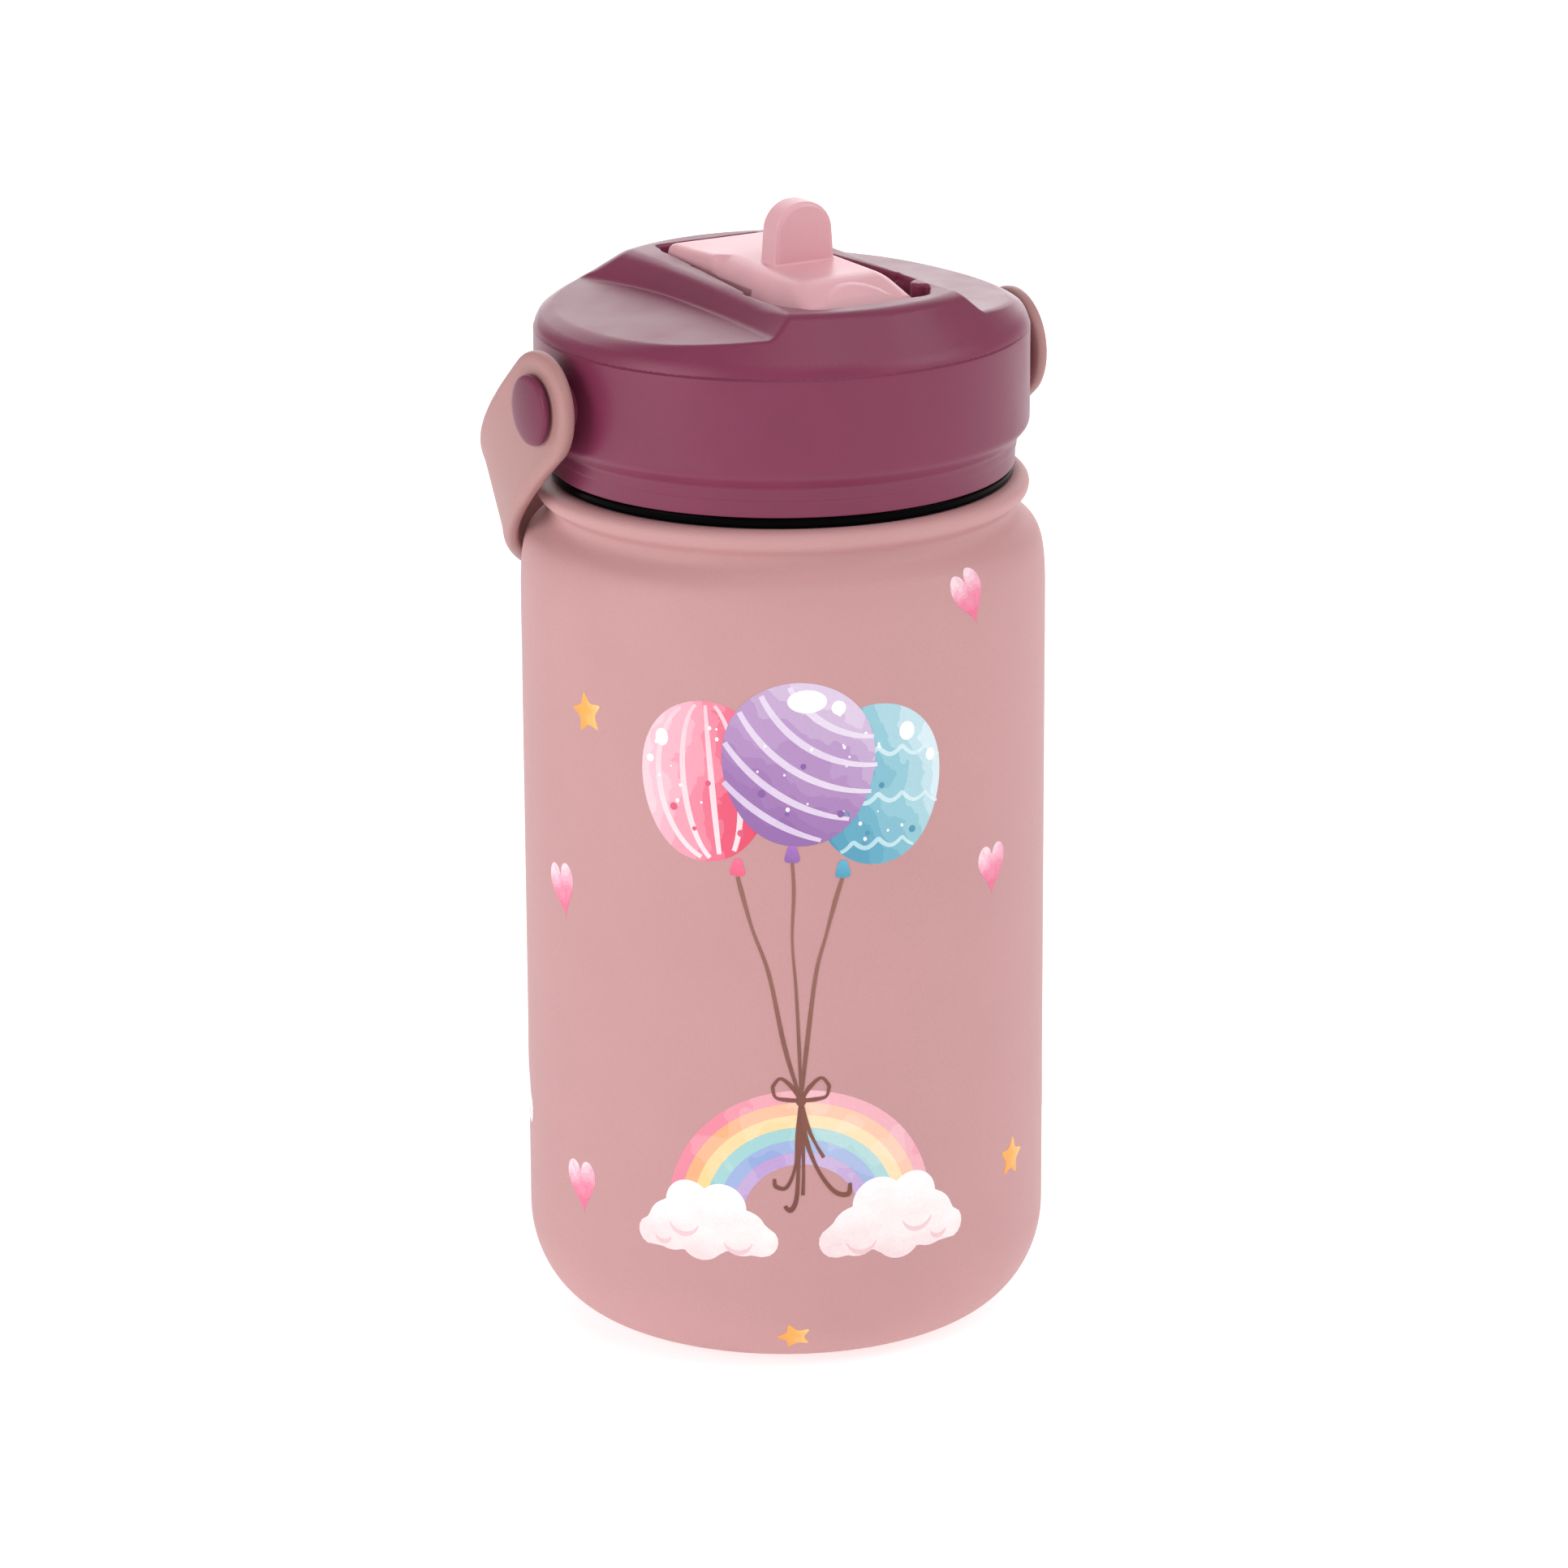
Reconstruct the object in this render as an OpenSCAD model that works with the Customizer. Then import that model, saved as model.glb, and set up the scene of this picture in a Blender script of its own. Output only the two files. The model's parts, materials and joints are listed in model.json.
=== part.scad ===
// Double-walled children's drinking bottle with a screw lid, a flip-up straw spout
// and a soft carry strap that swings on two side rivets.
// Z points up, the origin is the centre of the flat base, the strap rivets lie along X
// and the spout lies along Y with its hinge at the -Y (front) end.

/* [Bottle body] */
// Outer radius of the insulated body
body_r = 36.5; // [34:0.1:38]
// Radius of the flat part of the base
base_r = 25.2; // [20:0.1:27]
// Height of the rounding at the foot of the body
foot_h = 13.9; // [10:0.1:15]
// Height at which the shoulder starts to turn inward
shoulder_z = 104; // [80:0.5:104]
// Thickness of each steel wall
wall = 0.8; // [0.6:0.05:1]
// Width of the vacuum gap between the two walls
vacuum_gap = 3.2; // [2.5:0.1:4]

/* [Neck and screw thread] */
// Height of the sealing lip of the mouth
lip_z = 133.5; // [133:0.1:133.6]
// Outer radius of the steel neck under its thread
neck_r = 28.8; // [28:0.1:28.8]
// Lift of the lid in one full turn
thread_lead = 5; // [4:0.5:6]
// Radial clearance between the two threads
thread_gap = 0.35; // [0.3:0.01:0.4]

/* [Lid] */
// Outer radius of the lid band
lid_r = 34.15; // [34:0.05:35]
// Height of the lid's bottom edge
lid_bottom_z = 122.05; // [122.05:0.05:122.3]
// Height of the seam between the lid ring and the lid cover
seam_z = 141.3; // [141:0.1:141.6]
// Height of the flat top of the raised centre band
lid_top_z = 149.1; // [148.5:0.1:149.5]
// Half the width of the raised centre band at its top
band_half_w = 13.2; // [13:0.1:14]
// Lean of the side walls of the raised band, from vertical
band_lean = 35; // [25:1:40]

/* [Flip spout] */
// Distance of the spout hinge in front of the bottle axis
hinge_y = 14; // [13.5:0.1:14.5]
// Height of the spout hinge
hinge_z = 144.8; // [144.6:0.05:144.8]
// Radius of the round valve hub of the spout
hub_r = 8; // [7.8:0.05:8]
// Half the width of the mouthpiece
mouth_half_w = 8.4; // [7:0.1:8.5]
// Distance of the mouthpiece end behind the bottle axis
mouth_y = 18.6; // [17:0.1:19]
// Radius of the drinking passage
bore_r = 2.4; // [2:0.1:2.6]
// Height of the top of the finger tab
tab_top_z = 159.4; // [156:0.1:161]

/* [Straw] */
// Outer radius of the straw
straw_r = 3.5; // [3.3:0.1:3.8]
// Height of the straw's lower end
straw_bottom_z = 9; // [8:0.5:20]

/* [Carry strap] */
// Height of the strap's rivets
rivet_z = 134; // [133:0.1:134.5]
// Radius of the rivet's domed head
rivet_head_r = 4.9; // [4.5:0.1:5.5]
// Radius of the rivet's shank
rivet_shank_r = 2.6; // [2.3:0.1:3]
// Thickness of the strap
strap_t = 2.2; // [1.8:0.1:2.2]
// Radius of the round strap ends
strap_end_r = 8; // [7:0.1:8.5]
// How far the strap hangs below its rivets at the back
strap_drop = 30; // [29:0.5:31]

/* [Hidden] */
$fn = 96;
eps = 0.01;
running = 0.05;
liner_r = body_r - wall - vacuum_gap;
liner_floor_z = 5.4;
neck_inner_r = neck_r - wall;
liner_neck_r = neck_inner_r - 0.1;
mouth_r = liner_neck_r - 0.7;
collar_z = 120.5;
thread_depth = 1.1;
thread_base_z = 124.9;
thread_turns = 1.3;
thread_steps = 64;
thread_root_w = 3;
thread_crest_w = 1.2;
insert_r = 31.6;
seal_inner_r = neck_r + thread_depth + 0.4;
insert_inner_r = neck_r + thread_depth + 0.45;
web_z = 135;
web_t = 1.8;
tub_floor_z = 139.6;
tub_wall = 1.2;
cheek_x = 10;
slot_half_w = mouth_half_w + 0.5;
hub_half_w = 9.5;
pin_r = 1.5;
pin_out_x = 13.2;
front_y = -24.3;
plateau_r = 26.65;
plateau_shift = 2.15;
shoulder_r = 33.29;
shoulder_top_z = 143.2;
shelf_z = 147.2;
shelf_out = 5.7;
shelf_back = 1.3;
spout_bottom_z = 140;
spout_top_z = 150.3;
crest_z = 151.2;
tab_y = -4.4;
strap_x = 36.4;
strap_start = 0.5;
strap_rings = 44;
vent_pos = [15, 11];

// ---- curves ----

// Points of a cubic curve from p[0] to p[3]
function curve(p, n = 8) = [for (i = [0:n]) let (t = i / n, s = 1 - t)
    s * s * s * p[0] + 3 * s * s * t * p[1] + 3 * s * t * t * p[2] + t * t * t * p[3]];
// Points of an ellipse arc about c, with the two half axes in a
function ellipse_arc(c, a, from, to, n = 10) = [for (i = [0:n]) let (w = from + (to - from) * i / n)
    [c[0] + a[0] * cos(w), c[1] + a[1] * sin(w)]];

// Outer outline of the coated body from the base up to the top of the collar bead.
// in shrinks it by one wall for the inside of the shell.
function body_outline(in = 0) = concat(
    ellipse_arc([base_r, foot_h], [body_r - base_r - in, foot_h - in], -90, 0),
    curve([[body_r - in, shoulder_z], [body_r - in, shoulder_z + 6],
        [35.9 - in, 112.2], [34.6 - in, 113.3]]),
    curve([[34.6 - in, 113.3], [33.5 - in, 114.3], [32.4 - in, 114.8], [32.4 - in, 116.2]]),
    curve([[32.4 - in, 116.2], [32.4 - in, 117.6], [34.1 - in, 117.4], [34.1 - in, 119.1]]),
    curve([[34.1 - in, 119.1], [34.1 - in, 120 - in / 3],
        [33.2 - in, collar_z - in], [32 - in, collar_z - in]]));

// Outline of the outside of the liner, from its floor up to the lip. in is one wall.
function liner_outline(in = 0) = concat(
    [[0, liner_floor_z + in]],
    ellipse_arc([liner_r - 10, liner_floor_z + 11], [10 - in, 11 - in], -90, 0),
    curve([[liner_r - in, 102], [liner_r - in, 108], [liner_neck_r - in, 107], [liner_neck_r - in, 113]]),
    [[liner_neck_r - in, lip_z - 0.6]]);

// ---- bottle ----

module outer_shell() {
    color([0.83, 0.64, 0.645])
        rotate_extrude()
            polygon(concat([[base_r - 1.2, 0]], body_outline(),
                [[neck_r + 0.02, collar_z], [neck_r + 0.02, collar_z - wall]],
                [for (i = [len(body_outline(wall)) - 1:-1:0]) body_outline(wall)[i]],
                [[base_r - 1.2, wall]]));
}

module base_plate() {
    color([0.80, 0.61, 0.62])
        difference() {
            cylinder(r = base_r - 1.25, h = wall);
            translate([10, 0, -eps])
                cylinder(r = 2.05, h = wall + 2 * eps, $fn = 48);
        }
}

module vacuum_plug() {
    color([0.75, 0.76, 0.78])
        translate([10, 0, 0.15])
            cylinder(r = 2, h = wall + 0.5, $fn = 48);
}

module getter_capsule() {
    color([0.55, 0.56, 0.58])
        translate([0, 0, liner_floor_z - 1.6])
            cylinder(r = 5, h = 1.6, $fn = 48);
}

module inner_vessel() {
    inside = liner_outline(0.7);
    color([0.78, 0.79, 0.80])
        rotate_extrude()
            polygon(concat(liner_outline(), [for (i = [len(inside) - 1:-1:0]) inside[i]]));
}

module neck_finish() {
    color([0.80, 0.81, 0.82])
        rotate_extrude()
            polygon(concat([[neck_inner_r, collar_z - wall], [neck_r, collar_z - wall],
                    [neck_r, lip_z - 0.6]],
                ellipse_arc([(neck_r + mouth_r) / 2, lip_z - 0.6], [(neck_r - mouth_r) / 2, 0.6], 0, 180),
                [[neck_inner_r, lip_z - 0.6]]));
}

// One solid swept through a list of cross-sections with the same number of points
module swept(rings) {
    sides = len(rings[0]);
    last = len(rings) - 1;
    polyhedron(
        points = [for (ring = rings) for (p = ring) p],
        faces = concat(
            [[for (k = [sides - 1:-1:0]) k]],
            [for (i = [0:last - 1]) for (k = [0:sides - 1])
                [i * sides + k, i * sides + (k + 1) % sides, (i + 1) * sides + (k + 1) % sides,
                 (i + 1) * sides + k]],
            [[for (k = [0:sides - 1]) last * sides + k]]));
}

// A right-hand screw ridge from root_r to crest_r that fades at both ends
module thread_ridge(root_r, crest_r) {
    swept([for (i = [0:thread_steps])
        let (w = 360 * thread_turns * i / thread_steps,
            z = thread_base_z + thread_lead * w / 360,
            fade = min(1, 0.2 + min(i, thread_steps - i) / 6),
            root = [root_r, thread_root_w / 2],
            crest = [root_r + (crest_r - root_r) * fade, thread_crest_w / 2],
            a = crest_r > root_r ? root : crest,
            b = crest_r > root_r ? crest : root)
        [for (p = [[a[0], z - a[1]], [b[0], z - b[1]], [b[0], z + b[1]], [a[0], z + a[1]]])
            [p[0] * cos(w), p[0] * sin(w), p[1]]]]);
}

module neck_thread() {
    color([0.80, 0.81, 0.82])
        thread_ridge(neck_r - 0.05, neck_r + thread_depth);
}

module neck_seal() {
    color([0.05, 0.05, 0.055])
        rotate_extrude()
            polygon([[seal_inner_r, collar_z + 0.05], [31.9, collar_z + 0.05], [32.05, collar_z + 0.3],
                [32.05, lid_bottom_z - 0.3], [31.9, lid_bottom_z - 0.05],
                [seal_inner_r, lid_bottom_z - 0.05]]);
}

// ---- lid ----

module lid_ring() {
    color([0.53, 0.27, 0.37])
        difference() {
            union() {
                rotate_extrude()
                    polygon([[insert_r + 0.05, lid_bottom_z], [32.35, lid_bottom_z],
                        [32.65, lid_bottom_z + 2.9],
                        [lid_r, 128.4], [lid_r, seam_z - 0.35], [lid_r - 0.35, seam_z],
                        [insert_r + 0.05, seam_z]]);
                for (side = [0, 180])
                    rotate([0, 0, side])
                        translate([insert_r + 0.9, 0, rivet_z])
                            rotate([0, 90, 0])
                                cylinder(r = 5.2, h = strap_x - 0.6 - insert_r - 0.9, $fn = 64);
            }
            translate([-strap_x, 0, rivet_z])
                rotate([0, 90, 0])
                    cylinder(r = rivet_shank_r, h = 2 * strap_x, $fn = 64);
        }
}

module lid_insert() {
    color([0.90, 0.88, 0.88])
        difference() {
            rotate_extrude()
                polygon([[insert_inner_r, lid_bottom_z + 0.6], [insert_r, lid_bottom_z + 0.6],
                    [insert_r, web_z + web_t], [0, web_z + web_t], [0, web_z], [insert_inner_r, web_z]]);
            translate([0, -hinge_y, web_z - eps])
                cylinder(r = 4.3, h = web_t + 2 * eps, $fn = 64);
            translate([vent_pos[0], vent_pos[1], web_z - eps])
                cylinder(r = 1.5, h = web_t + 2 * eps, $fn = 48);
            translate([-strap_x, 0, rivet_z])
                rotate([0, 90, 0])
                    cylinder(r = rivet_shank_r, h = 2 * strap_x, $fn = 64);
        }
}

// The lid's ridge lies half a turn from the neck's, so it runs in the groove
module lid_thread() {
    color([0.90, 0.88, 0.88])
        rotate([0, 0, 180])
            thread_ridge(insert_inner_r + 0.12, neck_r + thread_gap);
}

module lid_gasket() {
    color([0.93, 0.93, 0.92])
        rotate_extrude()
            polygon([[mouth_r + 0.1, lip_z + 0.05], [insert_inner_r - 0.15, lip_z + 0.05],
                [insert_inner_r - 0.15, web_z], [mouth_r - 0.9, web_z], [mouth_r - 0.9, web_z - 0.6]]);
}

// The outer form of the cover: round shoulder, then a slanted face up to an off-centre flat top
module cover_form() {
    rotate_extrude()
        polygon(concat([[0, seam_z], [lid_r - 0.35, seam_z], [lid_r, seam_z + 0.35]],
            [for (w = [0:5.9:35.4]) [lid_r - 4.66 * (1 - cos(w)), shoulder_top_z - 2.7 + 4.66 * sin(w)]],
            [[0, shoulder_top_z]]));
    hull() {
        translate([0, 0, shoulder_top_z - eps])
            cylinder(r = shoulder_r, h = eps);
        translate([0, -plateau_shift, lid_top_z - eps])
            cylinder(r = plateau_r, h = eps);
    }
}

// One of the two scooped shelves beside the raised band
module side_scoop() {
    difference() {
        translate([0, 0, shelf_z])
            rotate([-shelf_back, shelf_out, 0])
                translate([0, -50, 0])
                    cube([60, 100, 12]);
        translate([band_half_w, 0, lid_top_z])
            rotate([0, -band_lean, 0])
                translate([-40, -60, -30])
                    cube([40, 120, 60]);
    }
}

// The open space of the spout: a narrow slot behind and a wider pocket around the hub
module spout_space() {
    translate([0, 0, tub_floor_z]) {
        translate([-slot_half_w, -hinge_y, 0])
            cube([2 * slot_half_w, hinge_y + mouth_y - 3.2, 20]);
        translate([-slot_half_w + 4, mouth_y - 8, 0])
            cube([2 * slot_half_w - 8, 9, 20]);
        for (side = [-1, 1])
            translate([side * (slot_half_w - 4), mouth_y - 3.2, 0])
                cylinder(r = 4, h = 20, $fn = 64);
    }
    translate([-cheek_x, front_y, web_z + web_t])
        cube([2 * cheek_x, hub_r + 1.2 - front_y - hinge_y, 20]);
}

module lid_cover() {
    color([0.53, 0.27, 0.37])
        difference() {
            union() {
                difference() {
                    cover_form();
                    side_scoop();
                    mirror([1, 0, 0])
                        side_scoop();
                    translate([0, 0, seam_z - eps])
                        cylinder(r = insert_r, h = 1.3);
                }
                translate([-cheek_x - 3.2, front_y - tub_wall, web_z + web_t])
                    cube([2 * cheek_x + 6.4, hub_r + 1.2 - front_y - hinge_y + tub_wall, 7]);
                translate([-slot_half_w - tub_wall, -hinge_y, tub_floor_z - tub_wall])
                    cube([2 * (slot_half_w + tub_wall), hinge_y + mouth_y + 2, 5]);
            }
            spout_space();
            translate([-pin_out_x, -hinge_y, hinge_z])
                rotate([0, 90, 0])
                    cylinder(r = pin_r, h = 2 * pin_out_x, $fn = 48);
        }
}

module hinge_pin() {
    color([0.78, 0.79, 0.80])
        translate([hub_half_w - 3, -hinge_y, hinge_z])
            rotate([0, 90, 0])
                cylinder(r = pin_r, h = pin_out_x - hub_half_w + 3, $fn = 48);
}

module hinge_pin_right() {
    hinge_pin();
}

module hinge_pin_left() {
    mirror([1, 0, 0])
        hinge_pin();
}

// Soft block under the hub that seals the straw port while the spout is down
module hub_seat() {
    color([0.93, 0.93, 0.92])
        difference() {
            translate([0, -hinge_y, web_z - 0.4])
                union() {
                    cylinder(r = 4.3, h = web_t + 0.4, $fn = 64);
                    translate([-8, -5, web_t + 0.4])
                        cube([16, 10, 2]);
                }
            translate([-20, -hinge_y, hinge_z])
                rotate([0, 90, 0])
                    cylinder(r = hub_r + running, h = 40, $fn = 96);
            translate([0, -hinge_y, web_z - 1])
                cylinder(r = 1.9, h = 6, $fn = 48);
        }
}

module straw_connector() {
    color([0.88, 0.90, 0.92])
        translate([0, -hinge_y, 0])
            rotate_extrude($fn = 64)
                polygon([[1.9, 123.6], [2.4, 123.6], [2.75, 124.4], [2.75, 132.4], [6.2, 132.4],
                    [6.2, web_z], [4.3, web_z], [4.3, web_z - 0.4], [1.9, web_z - 0.4]]);
}

module straw() {
    color([0.93, 0.95, 0.97])
        translate([0, -hinge_y, straw_bottom_z])
            difference() {
                cylinder(r = straw_r, h = 132.3 - straw_bottom_z, $fn = 64);
                translate([0, 0, -eps])
                    cylinder(r = 2.75, h = 140, $fn = 64);
            }
}

module vent_valve() {
    color([0.93, 0.93, 0.92])
        translate([vent_pos[0], vent_pos[1], 0])
            rotate_extrude($fn = 64)
                polygon([[0, web_z - 1.6], [1.5, web_z - 1.4], [4, web_z - 0.5], [4, web_z], [1.5, web_z],
                    [1.5, web_z + web_t], [2.3, web_z + web_t], [1.9, web_z + web_t + 1],
                    [0, web_z + web_t + 1]]);
}

// ---- strap rivets ----

module strap_washer() {
    color([0.53, 0.27, 0.37])
        translate([strap_x - 0.6, 0, rivet_z])
            rotate([0, 90, 0])
                difference() {
                    cylinder(r = 5.2, h = 0.45, $fn = 64);
                    translate([0, 0, -eps])
                        cylinder(r = rivet_shank_r, h = 1, $fn = 64);
                }
}

module strap_washer_right() {
    strap_washer();
}

module strap_washer_left() {
    mirror([1, 0, 0])
        strap_washer();
}

module strap_rivet() {
    head_x = strap_x + strap_t + 0.15;
    color([0.53, 0.27, 0.37])
        translate([0, 0, rivet_z])
            rotate([0, 90, 0])
                rotate_extrude()
                    polygon(concat([[0, insert_inner_r + 0.15], [rivet_shank_r, insert_inner_r + 0.15],
                        [rivet_shank_r, head_x], [rivet_head_r, head_x], [rivet_head_r, head_x + 0.45]],
                        ellipse_arc([rivet_head_r - 0.5, head_x + 0.45], [0.5, 0.5], 0, 70, 5),
                        [[0, head_x + 1.3]]));
}

module strap_rivet_right() {
    strap_rivet();
}

module strap_rivet_left() {
    mirror([1, 0, 0])
        strap_rivet();
}

// ---- flip spout ----

// Outline of the spout seen from the side, as [y, z]
function spout_side() = [[mouth_y - 1, spout_bottom_z + 0.4], [mouth_y, spout_bottom_z + 1.6],
    [mouth_y - 0.3, spout_top_z - 3.2], [mouth_y - 2.2, spout_top_z - 1], [9, spout_top_z - 0.2],
    [4, crest_z], [-hinge_y - 2.2, crest_z], [-hinge_y - 7, crest_z - 2.7],
    [-hinge_y - hub_r + 0.2, hinge_z], [-hinge_y, hinge_z], [-hinge_y + 2, spout_bottom_z + 0.4]];
// Region that the round hub is cut back to, under the crest and the front slope, as [y, z]
function hub_side() = [[-hinge_y + 10, hinge_z - 12], [-hinge_y + 10, crest_z], [-hinge_y - 2.2, crest_z],
    [-hinge_y - 11.8, crest_z - 5.4], [-hinge_y - 11.8, hinge_z - 12]];

module flip_spout() {
    color([0.84, 0.64, 0.66])
        difference() {
            union() {
                intersection() {
                    rotate([90, 0, 90])
                        translate([0, 0, -hub_half_w])
                            linear_extrude(height = 2 * hub_half_w)
                                polygon(spout_side());
                    union() {
                        hull() {
                            translate([-mouth_half_w, -hinge_y, spout_bottom_z])
                                cube([2 * mouth_half_w, 8, 16]);
                            for (side = [-1, 1])
                                translate([side * (mouth_half_w - 3.5), mouth_y - 3.5, spout_bottom_z])
                                    cylinder(r = 3.5, h = 16, $fn = 32);
                        }
                        translate([-hub_half_w, front_y, hinge_z - hub_r])
                            cube([2 * hub_half_w, 6.4 - front_y - hinge_y, 16]);
                    }
                }
                intersection() {
                    translate([-hub_half_w, -hinge_y, hinge_z])
                        rotate([0, 90, 0])
                            cylinder(r = hub_r, h = 2 * hub_half_w);
                    rotate([90, 0, 90])
                        translate([0, 0, -hub_half_w - 1])
                            linear_extrude(height = 2 * hub_half_w + 2)
                                polygon(hub_side());
                }
                hull() {
                    for (side = [-1, 1])
                        translate([side * 1.6, tab_y + 1.8, tab_top_z - 2.9])
                            rotate([90, 0, 0])
                                cylinder(r = 2.9, h = 3.6, $fn = 32);
                    translate([-4.6, tab_y - 2, crest_z - 0.5])
                        cube([9.2, 4, 0.5]);
                }
            }
            translate([-20, -hinge_y, hinge_z])
                rotate([0, 90, 0])
                    cylinder(r = pin_r + running, h = 40, $fn = 48);
            translate([0, mouth_y + 1, hinge_z])
                rotate([90, 0, 0])
                    cylinder(r = bore_r, h = mouth_y + hinge_y + hub_r + 4, $fn = 64);
        }
}

module spout_tube() {
    color([0.95, 0.95, 0.94])
        translate([0, mouth_y - 0.6, hinge_z])
            rotate([90, 0, 0])
                difference() {
                    cylinder(r = bore_r, h = mouth_y + hinge_y - 3, $fn = 64);
                    translate([0, 0, -eps])
                        cylinder(r = bore_r - 0.5, h = 60, $fn = 64);
                }
}

module hub_washers() {
    color([0.93, 0.93, 0.92])
        for (side = [-1, 1])
            translate([side * (hub_half_w + 0.2), -hinge_y, hinge_z])
                rotate([0, 90, 0])
                    difference() {
                        cylinder(r = 4.2, h = 0.4, center = true, $fn = 64);
                        cylinder(r = pin_r + running, h = 1, center = true, $fn = 48);
                    }
}

// ---- carry strap ----

// Centre line of the strap, w degrees round the bottle from the right rivet
function strap_mid(w) = let (r = strap_x + strap_t / 2 + 0.9 * sin(w) + 1.5 * pow(sin(2 * w), 2))
    [r * cos(w), r * sin(w), rivet_z - strap_drop * sin(w)];
// Direction across the strap's width
function strap_across(w) = let (lean = 40 * pow(abs(cos(w)), 1.5)) [0, sin(lean), cos(lean)];
function unit(v) = v / norm(v);
// Direction through the strap's thickness, outward
function strap_out(w) = unit(cross(strap_mid(w + 1) - strap_mid(w - 1), strap_across(w)));
function strap_half_w(w) = strap_end_r - 1.2 * sin(w);
// One ring of the strap: its cross-section with blunted corners
function strap_ring(w) = let (c = strap_mid(w), a = strap_across(w) * strap_half_w(w),
    n = strap_out(w) * strap_t / 2, k = 1 - 0.7 / strap_half_w(w))
    [c + a * k + n, c + a + n * 0.4, c + a - n * 0.4, c + a * k - n,
     c - a * k - n, c - a - n * 0.4, c - a + n * 0.4, c - a * k + n];

module strap_band() {
    swept([for (i = [0:strap_rings]) strap_ring(strap_start + (180 - 2 * strap_start) * i / strap_rings)]);
}

module carry_strap() {
    color([0.85, 0.65, 0.64])
        difference() {
            union() {
                strap_band();
                for (side = [0, 1])
                    mirror([side, 0, 0])
                        translate([strap_x, 0, rivet_z])
                            rotate([0, 90, 0])
                                cylinder(r = strap_end_r, h = strap_t);
            }
            translate([-60, 0, rivet_z])
                rotate([0, 90, 0])
                    cylinder(r = rivet_shank_r + running, h = 120, $fn = 64);
        }
}

outer_shell();
base_plate();
vacuum_plug();
getter_capsule();
inner_vessel();
neck_finish();
neck_thread();
neck_seal();
lid_ring();
lid_insert();
lid_thread();
lid_gasket();
lid_cover();
hinge_pin_left();
hinge_pin_right();
hub_seat();
straw_connector();
straw();
vent_valve();
strap_washer_left();
strap_washer_right();
strap_rivet_left();
strap_rivet_right();
flip_spout();
spout_tube();
hub_washers();
carry_strap();
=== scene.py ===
"""Children's insulated drinking bottle with a flip-up straw spout: its looks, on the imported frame."""
import json
import math

import bmesh
import bpy
import numpy as np
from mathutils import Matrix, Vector
from mathutils.geometry import delaunay_2d_cdt


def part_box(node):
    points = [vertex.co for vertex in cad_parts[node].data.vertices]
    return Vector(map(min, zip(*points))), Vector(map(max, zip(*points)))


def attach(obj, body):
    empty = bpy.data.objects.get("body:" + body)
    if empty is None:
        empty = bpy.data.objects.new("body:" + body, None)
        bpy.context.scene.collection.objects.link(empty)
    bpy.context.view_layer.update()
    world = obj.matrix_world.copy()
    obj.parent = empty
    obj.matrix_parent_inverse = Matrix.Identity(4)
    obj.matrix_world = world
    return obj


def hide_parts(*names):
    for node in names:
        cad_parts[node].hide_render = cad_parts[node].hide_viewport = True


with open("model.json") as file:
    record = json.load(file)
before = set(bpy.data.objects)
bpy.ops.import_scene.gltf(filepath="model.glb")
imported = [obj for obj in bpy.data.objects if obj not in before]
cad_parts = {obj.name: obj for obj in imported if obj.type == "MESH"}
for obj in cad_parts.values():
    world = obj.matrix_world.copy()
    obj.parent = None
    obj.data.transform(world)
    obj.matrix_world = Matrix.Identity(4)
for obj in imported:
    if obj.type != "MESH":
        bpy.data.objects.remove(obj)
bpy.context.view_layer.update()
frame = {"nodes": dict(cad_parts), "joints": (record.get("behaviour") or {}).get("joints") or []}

MM = 0.001


def box_mm(node):
    """Lowest and highest corner of a CAD node, in millimetres."""
    low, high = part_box(node)
    return np.array(low) / MM, np.array(high) / MM


def pivot_mm(joint):
    """The point that a joint turns about, in millimetres."""
    found = next(j for j in frame["joints"] if j["name"] == joint)
    return np.array(found["pos_m"]) / MM


SHELL_HIGH = box_mm("outer_shell")[1]
RING_LOW, RING_HIGH = box_mm("lid_ring")
COVER_LOW, COVER_HIGH = box_mm("lid_cover")
SPOUT_LOW, SPOUT_HIGH = box_mm("flip_spout")
SEAL_LOW, SEAL_HIGH = box_mm("neck_seal")
RIVET_LOW, RIVET_HIGH = box_mm("strap_rivet_right")
INSERT_HIGH = box_mm("lid_insert")[1]
WASHER_HIGH = box_mm("hub_washers")[1]
HINGE = pivot_mm("spout_flip")
SWING = pivot_mm("strap_swing")

BODY_R = SHELL_HIGH[0]
COLLAR_Z = SHELL_HIGH[2]
LID_R = RING_HIGH[1]
SEAM_Z = RING_HIGH[2]
LID_TOP = COVER_HIGH[2]

# Sizes that no box of the frame tells, as in the CAD, in millimetres
WALL = 0.8
FOOT_R, SHOULDER_Z = 13.9, 104
NECK_R, NECK_BORE_R = 28.8, 28.85
THREAD_Z, THREAD_LEAD, THREAD_TURNS = 124.9, 5.0, 1.3
INSERT_IN_R = 30.35
SHANK_R, PIN_R = 2.6, 1.5
STRAP_X, STRAP_T, STRAP_END_R, STRAP_DROP = 36.4, 2.2, 8.0, 30.0
RIVET_HEAD_T = 1.3
INK_ROOM = 0.09  # the coated skin lies this far inside the CAD body, so that the print fits too
FRONT = 240.0  # compass angle of the printed front, anticlockwise from +X


# ---- colours and materials ----

def rgb(red, green, blue):
    """Linear RGBA from an sRGB colour of 0 to 255."""
    linear = [((c / 255 + 0.055) / 1.055) ** 2.4 if c > 10 else c / 255 / 12.92 for c in (red, green, blue)]
    return (*linear, 1.0)


def shade(colour, factor):
    """A linear colour made lighter or darker."""
    return (*[min(1.0, c * factor) for c in colour[:3]], 1.0)


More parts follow.
